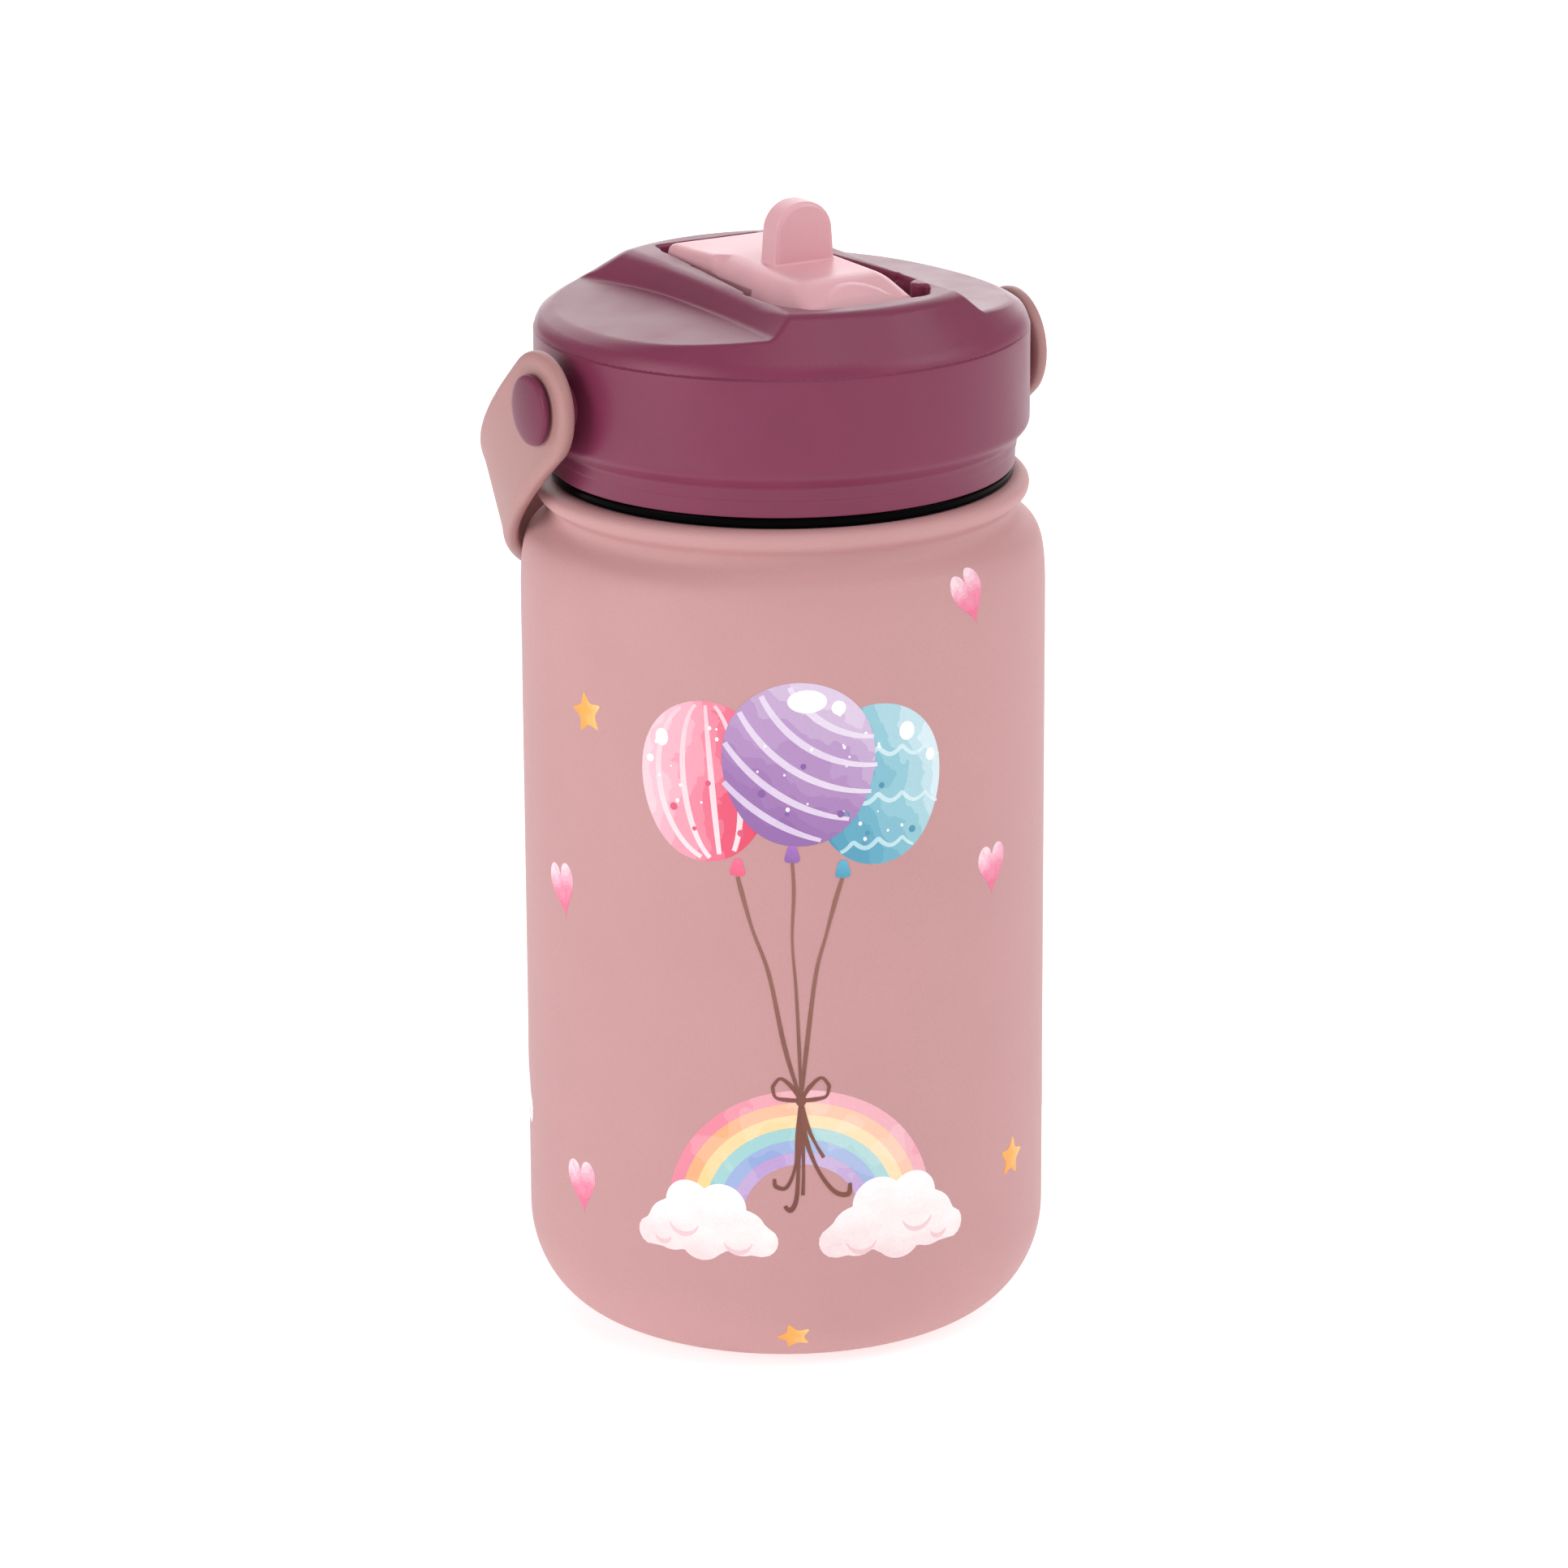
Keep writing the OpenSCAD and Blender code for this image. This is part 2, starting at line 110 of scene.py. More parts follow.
def blend_colours(a, b, t):
    """The colour that is t of the way from a to b."""
    return tuple(p + (q - p) * t for p, q in zip(a, b))


class Nodes:
    """A new node material with a Principled shader."""

    def __init__(self, name):
        self.material = bpy.data.materials.new(name)
        self.material.use_nodes = True
        self.tree = self.material.node_tree
        self.shader = self.tree.nodes["Principled BSDF"]

    def add(self, kind, links=None, **values):
        """A node; values set its properties or its sockets, links join its sockets to others."""
        node = self.tree.nodes.new(kind)
        for key, value in values.items():
            if hasattr(node, key):
                setattr(node, key, value)
            else:
                node.inputs[key.replace("_", " ")].default_value = value
        for key, source in (links or {}).items():
            self.tree.links.new(source, node.inputs[key])
        return node

    def noise(self, vector, size, detail=2.0, rough=0.5):
        """Noise whose features are about size millimetres across."""
        node = self.add("ShaderNodeTexNoise", {"Vector": vector}, Scale=1 / (size * MM), Detail=detail)
        node.inputs["Roughness"].default_value = rough
        return node.outputs["Fac"]

    def spread(self, value, low, high, start=0.3, end=0.7):
        """A value mapped from start..end to low..high."""
        node = self.add("ShaderNodeMapRange", {"Value": value})
        for socket, number in zip(("From Min", "From Max", "To Min", "To Max"), (start, end, low, high)):
            node.inputs[socket].default_value = number
        return node.outputs["Result"]

    def mix(self, fac, a, b):
        """A colour mixed from two, by a value."""
        node = self.add("ShaderNodeMix", data_type="RGBA")
        for socket, source in ((node.inputs[0], fac), (node.inputs[6], a), (node.inputs[7], b)):
            if isinstance(source, (tuple, float)):
                socket.default_value = source
            else:
                self.tree.links.new(source, socket)
        return node.outputs[2]

    def maths(self, operation, a, b):
        node = self.add("ShaderNodeMath", operation=operation)
        for socket, source in zip(node.inputs, (a, b)):
            if isinstance(source, (int, float)):
                socket.default_value = source
            else:
                self.tree.links.new(source, socket)
        return node.outputs["Value"]

    def bump(self, height, depth, before=None):
        """Adds a bump of depth millimetres to the shader's normal."""
        node = self.add("ShaderNodeBump", {"Height": height}, Distance=depth * MM)
        if before is not None:
            self.tree.links.new(before, node.inputs["Normal"])
        self.tree.links.new(node.outputs["Normal"], self.shader.inputs["Normal"])
        return node.outputs["Normal"]

    def wire(self, **sources):
        for key, source in sources.items():
            socket = self.shader.inputs[key.replace("_", " ")]
            if isinstance(source, (int, float, tuple)):
                socket.default_value = source
            else:
                self.tree.links.new(source, socket)


def moulded(name, colour, rough, grain=0.25, grain_depth=0.006, mottle=0.05, **sockets):
    """Moulded plastic or silicone: a fine spark-eroded grain, faint flow mottling and uneven gloss."""
    m = Nodes(name)
    place = m.add("ShaderNodeTexCoord").outputs["Object"]
    flow = m.noise(place, 9.0, 3.0)
    fine = m.noise(place, grain, 3.0, 0.6)
    tone = m.mix(m.spread(flow, 0, 1), shade(colour, 1 - mottle), shade(colour, 1 + mottle))
    tone = m.mix(m.spread(fine, 0, 0.35), tone, shade(colour, 0.86))
    m.wire(Base_Color=tone, Roughness=m.spread(flow, rough - 0.04, rough + 0.05), **sockets)
    m.bump(m.spread(fine, 0, 1), grain_depth)
    return m.material


def coated(name, colour):
    """Soft-touch powder coat: an orange-peel wave under a very fine sandy grain."""
    m = Nodes(name)
    place = m.add("ShaderNodeTexCoord").outputs["Object"]
    peel = m.noise(place, 1.4, 2.0)
    sand = m.noise(place, 0.22, 3.0, 0.65)
    cloud = m.noise(place, 14.0, 2.0)
    tone = m.mix(m.spread(cloud, 0, 1), shade(colour, 0.975), shade(colour, 1.02))
    tone = m.mix(m.spread(sand, 0, 0.6), tone, shade(colour, 0.88))
    m.wire(Base_Color=tone, Roughness=m.spread(sand, 0.47, 0.6), Specular_IOR_Level=0.36)
    first = m.bump(m.spread(peel, 0, 1), 0.006)
    m.bump(m.spread(sand, 0, 1), 0.006, first)
    return m.material


def steel(name, colour, rough, along):
    """Stainless steel with fine lines, drawn out along the directions whose scale in along is small."""
    m = Nodes(name)
    place = m.add("ShaderNodeTexCoord").outputs["Object"]
    stretched = m.add("ShaderNodeMapping", {"Vector": place})
    stretched.inputs["Scale"].default_value = along
    lines = m.noise(stretched.outputs["Vector"], 0.12, 2.0)
    cloud = m.noise(place, 8.0, 2.0)
    tone = m.mix(m.spread(cloud, 0, 1), shade(colour, 0.93), shade(colour, 1.05))
    m.wire(Base_Color=tone, Metallic=1.0, Roughness=m.spread(lines, rough - 0.07, rough + 0.09))
    m.bump(m.spread(lines, 0, 1), 0.003)
    return m.material


def clear(name, colour, rough):
    """Clear plastic with faint flow lines and small scuffs."""
    m = Nodes(name)
    place = m.add("ShaderNodeTexCoord").outputs["Object"]
    flow = m.noise(place, 5.0, 2.0)
    tone = m.mix(m.spread(flow, 0, 1), shade(colour, 0.97), colour)
    m.wire(Base_Color=tone, Roughness=m.spread(m.noise(place, 0.6), rough, rough + 0.12),
           Transmission_Weight=0.6, IOR=1.5)
    m.bump(m.spread(flow, 0, 1), 0.01)
    return m.material


def watercolour(name, colours, towards, wobble=0.22):
    """Printed ink in flat washes, which run through colours along towards, in the print's own art map."""
    levels = 9
    m = Nodes(name)
    art = m.add("ShaderNodeUVMap", uv_map="art").outputs["UV"]
    along = m.add("ShaderNodeVectorMath", {0: art}, operation="DOT_PRODUCT")
    along.inputs[1].default_value = (*towards, 0)
    wash = m.add("ShaderNodeTexNoise", {"Vector": art}, Scale=1.6, Detail=3.0)
    place = m.spread(along.outputs["Value"], 0, 1, -1, 1)
    place = m.maths("ADD", place, m.spread(wash.outputs["Fac"], -wobble, wobble, 0.2, 0.8))
    ramp = m.add("ShaderNodeValToRGB", {"Fac": place})
    ramp.color_ramp.interpolation = "CONSTANT"
    stops = ramp.color_ramp.elements
    while len(stops) < levels:
        stops.new(0.5)
    for k, stop in enumerate(stops):
        t = k / (levels - 1) * (len(colours) - 1)
        first = min(int(t), len(colours) - 2)
        stop.position = k / levels
        stop.color = blend_colours(colours[first], colours[first + 1], t - first)
    place = m.add("ShaderNodeTexCoord").outputs["Object"]
    sand = m.noise(place, 0.22, 3.0, 0.65)
    tone = m.mix(m.spread(sand, 0, 0.12), ramp.outputs["Color"], rgb(120, 70, 90))
    m.wire(Base_Color=tone, Roughness=m.spread(sand, 0.42, 0.52))
    m.bump(m.spread(sand, 0, 1), 0.004)
    return m.material


WHITE = (1.0, 1.0, 1.0, 1.0)
PINK = rgb(200, 150, 151)
PLUM = rgb(125, 49, 78)
COAT = coated("powder_coat_pink", PINK)
STRAP_SKIN = moulded("silicone_pink", rgb(176, 128, 126), 0.5, 0.3, 0.008)
PLUM_SKIN = moulded("plastic_plum", PLUM, 0.36, 0.22, 0.007, Specular_IOR_Level=0.33)
RIVET_SKIN = moulded("plastic_plum_cap", shade(PLUM, 0.84), 0.3, 0.22, 0.004, Specular_IOR_Level=0.22)
SPOUT_SKIN = moulded("plastic_pink", rgb(228, 171, 179), 0.38, 0.3, 0.004)
# Near-black with almost no specular: painted dark reflection and gap shade of the steel neck, worn by the
# seal ring
BLACK_PAINTED_REFLECTION_SKIN = moulded("black_painted_reflection", rgb(3, 3, 4), 0.2, 0.4, 0.003, Specular_IOR_Level=0.02)
WHITE_SKIN = moulded("plastic_white", rgb(236, 232, 230), 0.4, 0.3, 0.006)
SOFT_WHITE = moulded("silicone_white", rgb(238, 238, 235), 0.5, 0.35, 0.008)
STEEL_SKIN = steel("steel_turned", rgb(205, 206, 208), 0.26, (0.05, 0.05, 1))
STEEL_PIN = steel("steel_drawn", rgb(200, 201, 204), 0.2, (0.05, 1, 1))
GETTER_SKIN = steel("getter_metal", rgb(150, 152, 156), 0.45, (1, 1, 1))
STRAW_SKIN = clear("straw_clear", rgb(236, 242, 247), 0.12)
FITTING_SKIN = clear("fitting_clear", rgb(226, 232, 238), 0.22)

# The CAD nodes that are shown as they are, by material
CAD_SKINS = {
    COAT: ["base_plate"], STEEL_SKIN: ["inner_vessel", "neck_finish"], GETTER_SKIN: ["getter_capsule"],
    STEEL_PIN: ["vacuum_plug", "hinge_pin_left", "hinge_pin_right"], FITTING_SKIN: ["straw_connector"],
    WHITE_SKIN: ["lid_insert", "lid_thread"], STRAW_SKIN: ["straw"],
    SOFT_WHITE: ["lid_gasket", "hub_seat", "vent_valve", "spout_tube"],
    PLUM_SKIN: ["strap_washer_left", "strap_washer_right"],
}


# ---- curves ----

def curve(a, b, c, d, steps=16):
    """Points of a cubic curve, without its last one."""
    t = np.linspace(0, 1, steps, endpoint=False)[:, None]
    a, b, c, d = map(np.array, (a, b, c, d))
    return (1 - t) ** 3 * a + 3 * (1 - t) ** 2 * t * b + 3 * (1 - t) * t ** 2 * c + t ** 3 * d


def arc(centre, radii, start, end, steps=16):
    """Points of an ellipse arc, in degrees."""
    w = np.radians(np.linspace(start, end, steps + 1))[:, None]
    return np.array(centre) + np.hstack([np.cos(w), np.sin(w)]) * np.array(radii)


def rounded(points, radius, steps=5):
    """A closed outline with each corner rounded by about radius, which may be one number per corner."""
    points = [np.array(p, float) for p in points]
    radii = np.broadcast_to(radius, len(points))
    out = []
    for k, here in enumerate(points):
        if not radii[k]:
            out.append(here)
            continue
        before, after = points[k - 1], points[(k + 1) % len(points)]
        back, on = before - here, after - here
        reach = min(radii[k], 0.49 * np.linalg.norm(back), 0.49 * np.linalg.norm(on))
        start = here + back / np.linalg.norm(back) * reach
        end = here + on / np.linalg.norm(on) * reach
        for t in np.linspace(0, 1, steps + 1):
            out.append((1 - t) ** 2 * start + 2 * t * (1 - t) * here + t ** 2 * end)
    return np.array(out)


def split(outline, longest=0.8):
    """A closed outline with its long sides cut into shorter ones, so that it shades evenly."""
    outline, out = np.asarray(outline, float), []
    for here, after in zip(outline, np.roll(outline, -1, 0)):
        count = max(1, math.ceil(np.linalg.norm(after - here) / longest))
        out.append(here + (after - here) * (np.arange(count) / count)[:, None])
    return np.vstack(out)


# ---- meshes ----

def piece(name, points, faces, material, body, slot, stands_for=()):
    """A smooth mesh from points in millimetres, riding on its body."""
    mesh = bpy.data.meshes.new(name)
    mesh.from_pydata((np.asarray(points, float) * MM).tolist(), [], [list(map(int, f)) for f in faces])
    mesh.polygons.foreach_set("use_smooth", [True] * len(mesh.polygons))
    mesh.materials.append(material)
    made = bpy.data.objects.new(name, mesh)
    bpy.context.scene.collection.objects.link(made)
    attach(made, body)
    if stands_for:
        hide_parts(*stands_for)
    return made


def tidy(made, merge=0.0005):
    """Merges doubled points and turns every face outward."""
    work = bmesh.new()
    work.from_mesh(made.data)
    bmesh.ops.remove_doubles(work, verts=work.verts, dist=merge * MM)
    bmesh.ops.dissolve_degenerate(work, edges=work.edges, dist=merge * MM / 5)
    bmesh.ops.recalc_face_normals(work, faces=work.faces)
    work.to_mesh(made.data)
    work.free()
    return made


def turned(outline, steps=240):
    """Points and faces of a closed outline, as [radius, height], turned about Z."""
    outline = np.asarray(outline, float)
    count = len(outline)
    w = np.arange(steps) * 2 * math.pi / steps
    radius, height = outline[:, 0][None, :], outline[:, 1][None, :]
    points = np.stack([radius * np.cos(w)[:, None], radius * np.sin(w)[:, None],
                       np.repeat(height, steps, 0)], -1).reshape(-1, 3)
    faces = [[i * count + k, (i + 1) % steps * count + k,
              (i + 1) % steps * count + (k + 1) % count, i * count + (k + 1) % count]
             for i in range(steps) for k in range(count)]
    return points, faces


def sideways(outline, side, steps=96):
    """Points and faces of a closed outline, as [radius, way out], turned about the X axis."""
    points, faces = turned(outline, steps)
    return np.stack([side * points[:, 2], points[:, 0], points[:, 1]], 1), faces


# ---- solids from a distance field ----

def both(a, b, radius):
    """Where two solids overlap, with their common edge rounded by radius."""
    corner = np.sqrt(np.maximum(a + radius, 0) ** 2 + np.maximum(b + radius, 0) ** 2)
    return np.minimum(np.maximum(a, b), -radius) + corner


def either(a, b, radius):
    """Two solids joined, with a fillet of radius between them."""
    return -both(-a, -b, radius)


def without(a, b, radius):
    """The first solid less the second, with the rim rounded."""
    return both(a, -b, radius)


def rounded_box(x, y, half_x, half_y, radius):
    """Distance to a rectangle about the origin with round corners."""
    return both(np.abs(x) - half_x, np.abs(y) - half_y, radius)


def in_plan(outline, a, b, seen_from="top"):
    """Distance to an outline in two of the three coordinates; a grid is worked out in one layer only."""
    if a.ndim < 3:
        return polygon_distance(outline, a, b)
    if seen_from == "side":
        return polygon_distance(outline, a[0], b[0])[None]
    return polygon_distance(outline, a[:, :, 0], b[:, :, 0])[:, :, None]


def smooth_step(value, start, end):
    """0 before start and 1 past end, with a smooth rise between."""
    t = np.clip((value - start) / (end - start), 0, 1)
    return t * t * (3 - 2 * t)


def polygon_distance(points, x, y):
    """Signed distance from each place x, y to a closed polygon, negative inside."""
    nearest = np.full(x.shape, 1e9, np.float32)
    inside = np.zeros(x.shape, bool)
    for (ax, ay), (bx, by) in zip(points, np.roll(points, -1, 0)):
        dx, dy = bx - ax, by - ay
        along = np.clip(((x - ax) * dx + (y - ay) * dy) / (dx * dx + dy * dy + 1e-12), 0, 1)
        nearest = np.minimum(nearest, np.hypot(x - ax - along * dx, y - ay - along * dy))
        crosses = (ay > y) != (by > y)
        inside ^= crosses & (x < ax + (y - ay) * dx / (dy if dy else 1e-12))
    return np.where(inside, -nearest, nearest)


def net(field, low, high, step):
    """Points and four-sided faces of the surface where field(x, y, z) is zero."""
    axes = [np.arange(a - 2 * step, b + 2 * step, step, dtype=np.float32) for a, b in zip(low, high)]
    values = field(*np.meshgrid(*axes, indexing="ij")).astype(np.float32)
    shape = np.array(values.shape)
    total, count, faces = np.zeros((3, values.size)), np.zeros(values.size), []
    for axis in range(3):
        start = np.take(values, range(shape[axis] - 1), axis)
        end = np.take(values, range(1, shape[axis]), axis)
        cut = np.argwhere((start < 0) != (end < 0))
        cut = cut[(cut > 0).all(1)]
        a, b = start[tuple(cut.T)], end[tuple(cut.T)]
        place = cut.astype(float)
        place[:, axis] += a / (a - b)
        one, two = np.eye(3, dtype=int)[(axis + 1) % 3], np.eye(3, dtype=int)[(axis + 2) % 3]
        cells = [np.ravel_multi_index((cut - shift).T, values.shape)
                 for shift in (0 * one, one, one + two, two)]
        for cell in cells:
            count += np.bincount(cell, minlength=values.size)
            for k in range(3):
                total[k] += np.bincount(cell, place[:, k], values.size)
        quads = np.stack(cells, 1)
        faces.append(np.where((a < 0)[:, None], quads, quads[:, ::-1]))
    used = np.flatnonzero(count)
    points = (total[:, used] / count[used]).T * step + np.array([a[0] for a in axes])
    number = np.zeros(values.size, int)
    number[used] = np.arange(len(used))
    return points, number[np.concatenate(faces)]


def slope(field, points, reach=0.03):
    """The direction in which the field grows at points."""
    sides = [field(*(points + step).T) - field(*(points - step).T) for step in np.eye(3) * reach]
    return np.stack(sides, 1) / (2 * reach)


def solid(name, field, low, high, step, material, body, slot, stands_for):
    """A piece whose skin is the zero surface of a field, with its points and normals on the true surface."""
    points, faces = net(field, low, high, step)
    for _ in range(4):
        way = slope(field, points)
        move = way * (field(*points.T) / np.maximum((way ** 2).sum(1), 0.2))[:, None]
        length = np.linalg.norm(move, axis=1, keepdims=True)
        points = points - move * np.minimum(1, 0.35 * step / np.maximum(length, 1e-9))
    made = piece(name, points, faces, material, body, slot, stands_for)
    way = slope(field, points)
    way /= np.maximum(np.linalg.norm(way, axis=1, keepdims=True), 1e-9)
    made.data.normals_split_custom_set_from_vertices(way.tolist())
    return made


# ---- bottle body ----

def skin_outline():
    """The coated skin from the foot up to the top of the collar bead, as [radius, height]."""
    r, foot = BODY_R - INK_ROOM, FOOT_R
    rim, waist, bead = BODY_R - 1.9, BODY_R - 4.1, BODY_R - 2.4
    return np.vstack([
        arc((BODY_R - 11.3, foot), (11.3 - INK_ROOM, foot), -90, 0, 28)[:-1],
        np.linspace((r, foot), (r, SHOULDER_Z), 30, endpoint=False),
        curve((r, SHOULDER_Z), (r, 110), (BODY_R - 0.65, 112.2), (rim, 113.3)),
        curve((rim, 113.3), (rim - 1.1, 114.3), (waist, 114.8), (waist, 116.2)),
        curve((waist, 116.2), (waist, 117.6), (bead, 117.4), (bead, 119.1)),
        curve((bead, 119.1), (bead, 120), (bead - 0.9, COLLAR_Z), (bead - 2.1, COLLAR_Z), 10)])


SKIN = skin_outline()


def make_body():
    """The outer shell: the coated skin, closed by its inner face one wall further in."""
    keep = SKIN[::4]
    tangent = np.gradient(keep, axis=0)
    inward = np.stack([-tangent[:, 1], tangent[:, 0]], 1) / np.linalg.norm(tangent, axis=1)[:, None]
    inner = (keep + inward * WALL)[::-1]
    neck = np.array([[NECK_BORE_R, COLLAR_Z], [NECK_BORE_R, COLLAR_Z - WALL]])
    foot = np.array([[24.0, WALL], [24.0, 0.0]])
    outline = np.vstack([SKIN, neck, inner[2:-2], foot])
    tidy(piece("body_shell", *turned(outline, 300), COAT, "bottle", "coat", ["outer_shell"]))


def make_seal():
    """The glossy soft ring between the collar and the lid. Its near-black colour is painted dark reflection
    and gap shade: it stands in for the dark front that the polished steel neck reflects, and its gloss gives
    the bright glints at the sides.
    """
    inner, outer = INSERT_IN_R, SEAL_HIGH[0]
    outline = rounded([(inner, SEAL_LOW[2]), (outer - 0.1, SEAL_LOW[2]), (outer, SEAL_HIGH[2]),
                       (inner, SEAL_HIGH[2])], 0.4)
    tidy(piece("neck_ring", *turned(split(outline)), BLACK_PAINTED_REFLECTION_SKIN, "lid_rise", "black_silicone",
               ["neck_seal"]))


def make_neck_thread():
    """The rolled single-start thread on the steel neck: a smooth ridge that fades at both ends."""
    ridge, half_root, sunk = 1.1, 1.55, 0.15
    rows, across = 220, 12
    points = []
    for i in range(rows + 1):
        w = THREAD_TURNS * 2 * math.pi * i / rows
        mid_z = THREAD_Z + THREAD_LEAD * w / (2 * math.pi)
        fade = smooth_step(np.array(min(i, rows - i) / rows), 0, 0.1)
        for k in range(across + 1):
            u = k / across * 2 - 1
            r = NECK_R - sunk + (ridge + 0.13) * fade * math.cos(u * math.pi / 2) ** 1.2
            points.append([r * math.cos(w), r * math.sin(w), mid_z + u * half_root])
        points.append([(NECK_R - 0.4) * math.cos(w), (NECK_R - 0.4) * math.sin(w), mid_z])
    ring = across + 2
    faces = [[i * ring + k, i * ring + (k + 1) % ring, (i + 1) * ring + (k + 1) % ring, (i + 1) * ring + k]
             for i in range(rows) for k in range(ring)]
    faces += [list(range(ring)), [rows * ring + k for k in range(ring)]]
    tidy(piece("neck_thread_rolled", points, faces, STEEL_SKIN, "bottle", "steel", ["neck_thread"]))


# ---- lid ----

def make_ring():
    """The lid's outer ring, with its tapered foot and one boss on each side for the strap."""
    inner, foot_z = INSERT_HIGH[0] + 0.05, RING_LOW[2]
    outline = rounded([(inner, foot_z), (32.1, foot_z), (32.2, foot_z + 2.3), (32.33, foot_z + 2.5),
                       (32.5, foot_z + 4.0), (LID_R, foot_z + 5.9), (LID_R, SEAM_Z),
                       (LID_R - 0.16, SEAM_Z), (LID_R - 0.18, SEAM_Z + 0.3), (inner, SEAM_Z + 0.3)],
                      [0.3, 0.35, 0.12, 0.12, 0.45, 0.6, 0.07, 0, 0, 0.1])
    tidy(piece("lid_band", *turned(split(outline), 300), PLUM_SKIN, "lid", "plum_plastic", ["lid_ring"]))
    boss_r, bore_r = 3.7, SHANK_R + 0.05
    start_x, end_x = LID_R - 1.2, RIVET_HIGH[0] - RIVET_HEAD_T - STRAP_T - 0.6
    outline = split(rounded([(bore_r, start_x), (boss_r, start_x), (boss_r, end_x), (bore_r, end_x)],
                            [0, 0, 0.4, 0.1]))
    for side, name in ((1, "right"), (-1, "left")):
        points, faces = sideways(outline, side)
        tidy(piece(f"strap_boss_{name}", points + (0, 0, SWING[2]), faces, PLUM_SKIN, "lid", "plum_plastic"))


RECESS_SIDE = [(8.1, 21.0), (12.2, -15.0), (11.7, -20.6), (8.4, -24.3), (0.0, -25.3)]
RECESS = rounded(RECESS_SIDE + [(-x, y) for x, y in RECESS_SIDE[-2::-1]],
                 [0.8, 4, 3, 4, 8, 4, 3, 4, 0.8], 6)


def cover_field(x, y, z):
    """The lid cover: an oblique cone with a flat top, less two scooped shelves and the spout's recess."""
    shoulder_z, shoulder_r, top_r, top_back = 143.2, 33.29, 26.65, 2.15
    rise = np.clip((z - shoulder_z) / (LID_TOP - shoulder_z), 0, 1)
    turn = np.clip((z - 140.5) / 4.66, 0, 0.579)
    radius = np.where(z > shoulder_z, shoulder_r + (top_r - shoulder_r) * rise,
                      LID_R - 4.66 * (1 - np.sqrt(1 - turn ** 2)))
    side = (np.hypot(x, y + top_back * rise) - radius) * 0.74
    form = both(side, z - LID_TOP, 0.9)
    form = both(form, SEAM_Z - z, 0.34)

    wide = np.abs(x)
    shelf = 147.2 - 0.10 * wide - 0.023 * y
    foot_x = 14.35 + np.where(y < 5, 0.0021, 0.0085) * (y - 5) ** 2
    wall_x = 13.2 + (foot_x - 13.2) * (LID_TOP - z) / (LID_TOP - 147.2 + 0.1 * foot_x + 0.023 * y)
    scoop = both((shelf - z) * 0.99, (wall_x - wide) * 0.8, 0.4)
    crown = 0.4 + 0.75 * smooth_step(y, -25, -17)
    rim = 0.36 + 1.4 * smooth_step(wide, 26, 33)
    beside = smooth_step(wide, 15.5, 17.5)
    form = without(form, scoop, crown + (rim - crown) * beside)

    tub = np.maximum(np.maximum(wide - 10.1, np.abs(y - 3.3) - 17.3), np.abs(z - 140.7) - 2.3)
    cheeks = np.maximum(np.maximum(wide - 13.2, np.abs(y + 15.75) - 9.75), np.abs(z - 140.3) - 3.5)
    form = np.minimum(form, np.minimum(tub, cheeks))

    mouth = in_plan(RECESS, x, y)
    lug = np.hypot(x - 11.95, y + 17.4) - 1.6
    mouth = without(mouth, lug, 0.4)
    for at_x, at_y, half in ((9.5, 6.0, 1.5), (11.75, -11.7, 0.9)):
        nick = both(rounded_box(wide - at_x, y - at_y, 0.42, half, 0.4), LID_TOP - 1.3 - z, 0.2)
        mouth = np.minimum(mouth, nick)
    recess = both(mouth, 145.6 - z, 0.3)
    slot_hole = both(rounded_box(x, y - 3, 8.9, 17, 3.0), 139.6 - z, 0.5)
    pocket = both(rounded_box(x, y + 15.7, 10.1, 9.0, 3.0), 136 - z, 0.3)
    recess = np.minimum(recess, np.minimum(slot_hole, pocket))
    form = without(form, recess, 0.42)
    bore = np.maximum(np.hypot(y - HINGE[1], z - HINGE[2]) - PIN_R, wide - 13.2)
    return np.maximum(form, -bore)


def make_cover():
    solid("lid_top", cover_field, (-LID_R, -LID_R, COVER_LOW[2]), (LID_R, LID_R, LID_TOP), 0.36,
          PLUM_SKIN, "lid", "plum_plastic", ["lid_cover"])


CREST, HUB_R = 150.95, 7.93  # height of the spout's back, and radius of its hub
HUB_ARC = arc(HINGE[1:], (HUB_R, HUB_R), 152.8, 326.4, 40)
SPOUT_END = SPOUT_HIGH[1]
SPOUT_SIDE = rounded(
    [(SPOUT_END - 1, 140.4), (SPOUT_END, 141.6), (SPOUT_END - 0.2, 147.4), (SPOUT_END - 1.5, 150.2),
     (10, 150.45), (3.5, CREST), (-16.3, CREST), *HUB_ARC],
    [0.5, 0.8, 2.0, 1.2, 4.0, 4.0, 1.6] + [0] * len(HUB_ARC), 6)


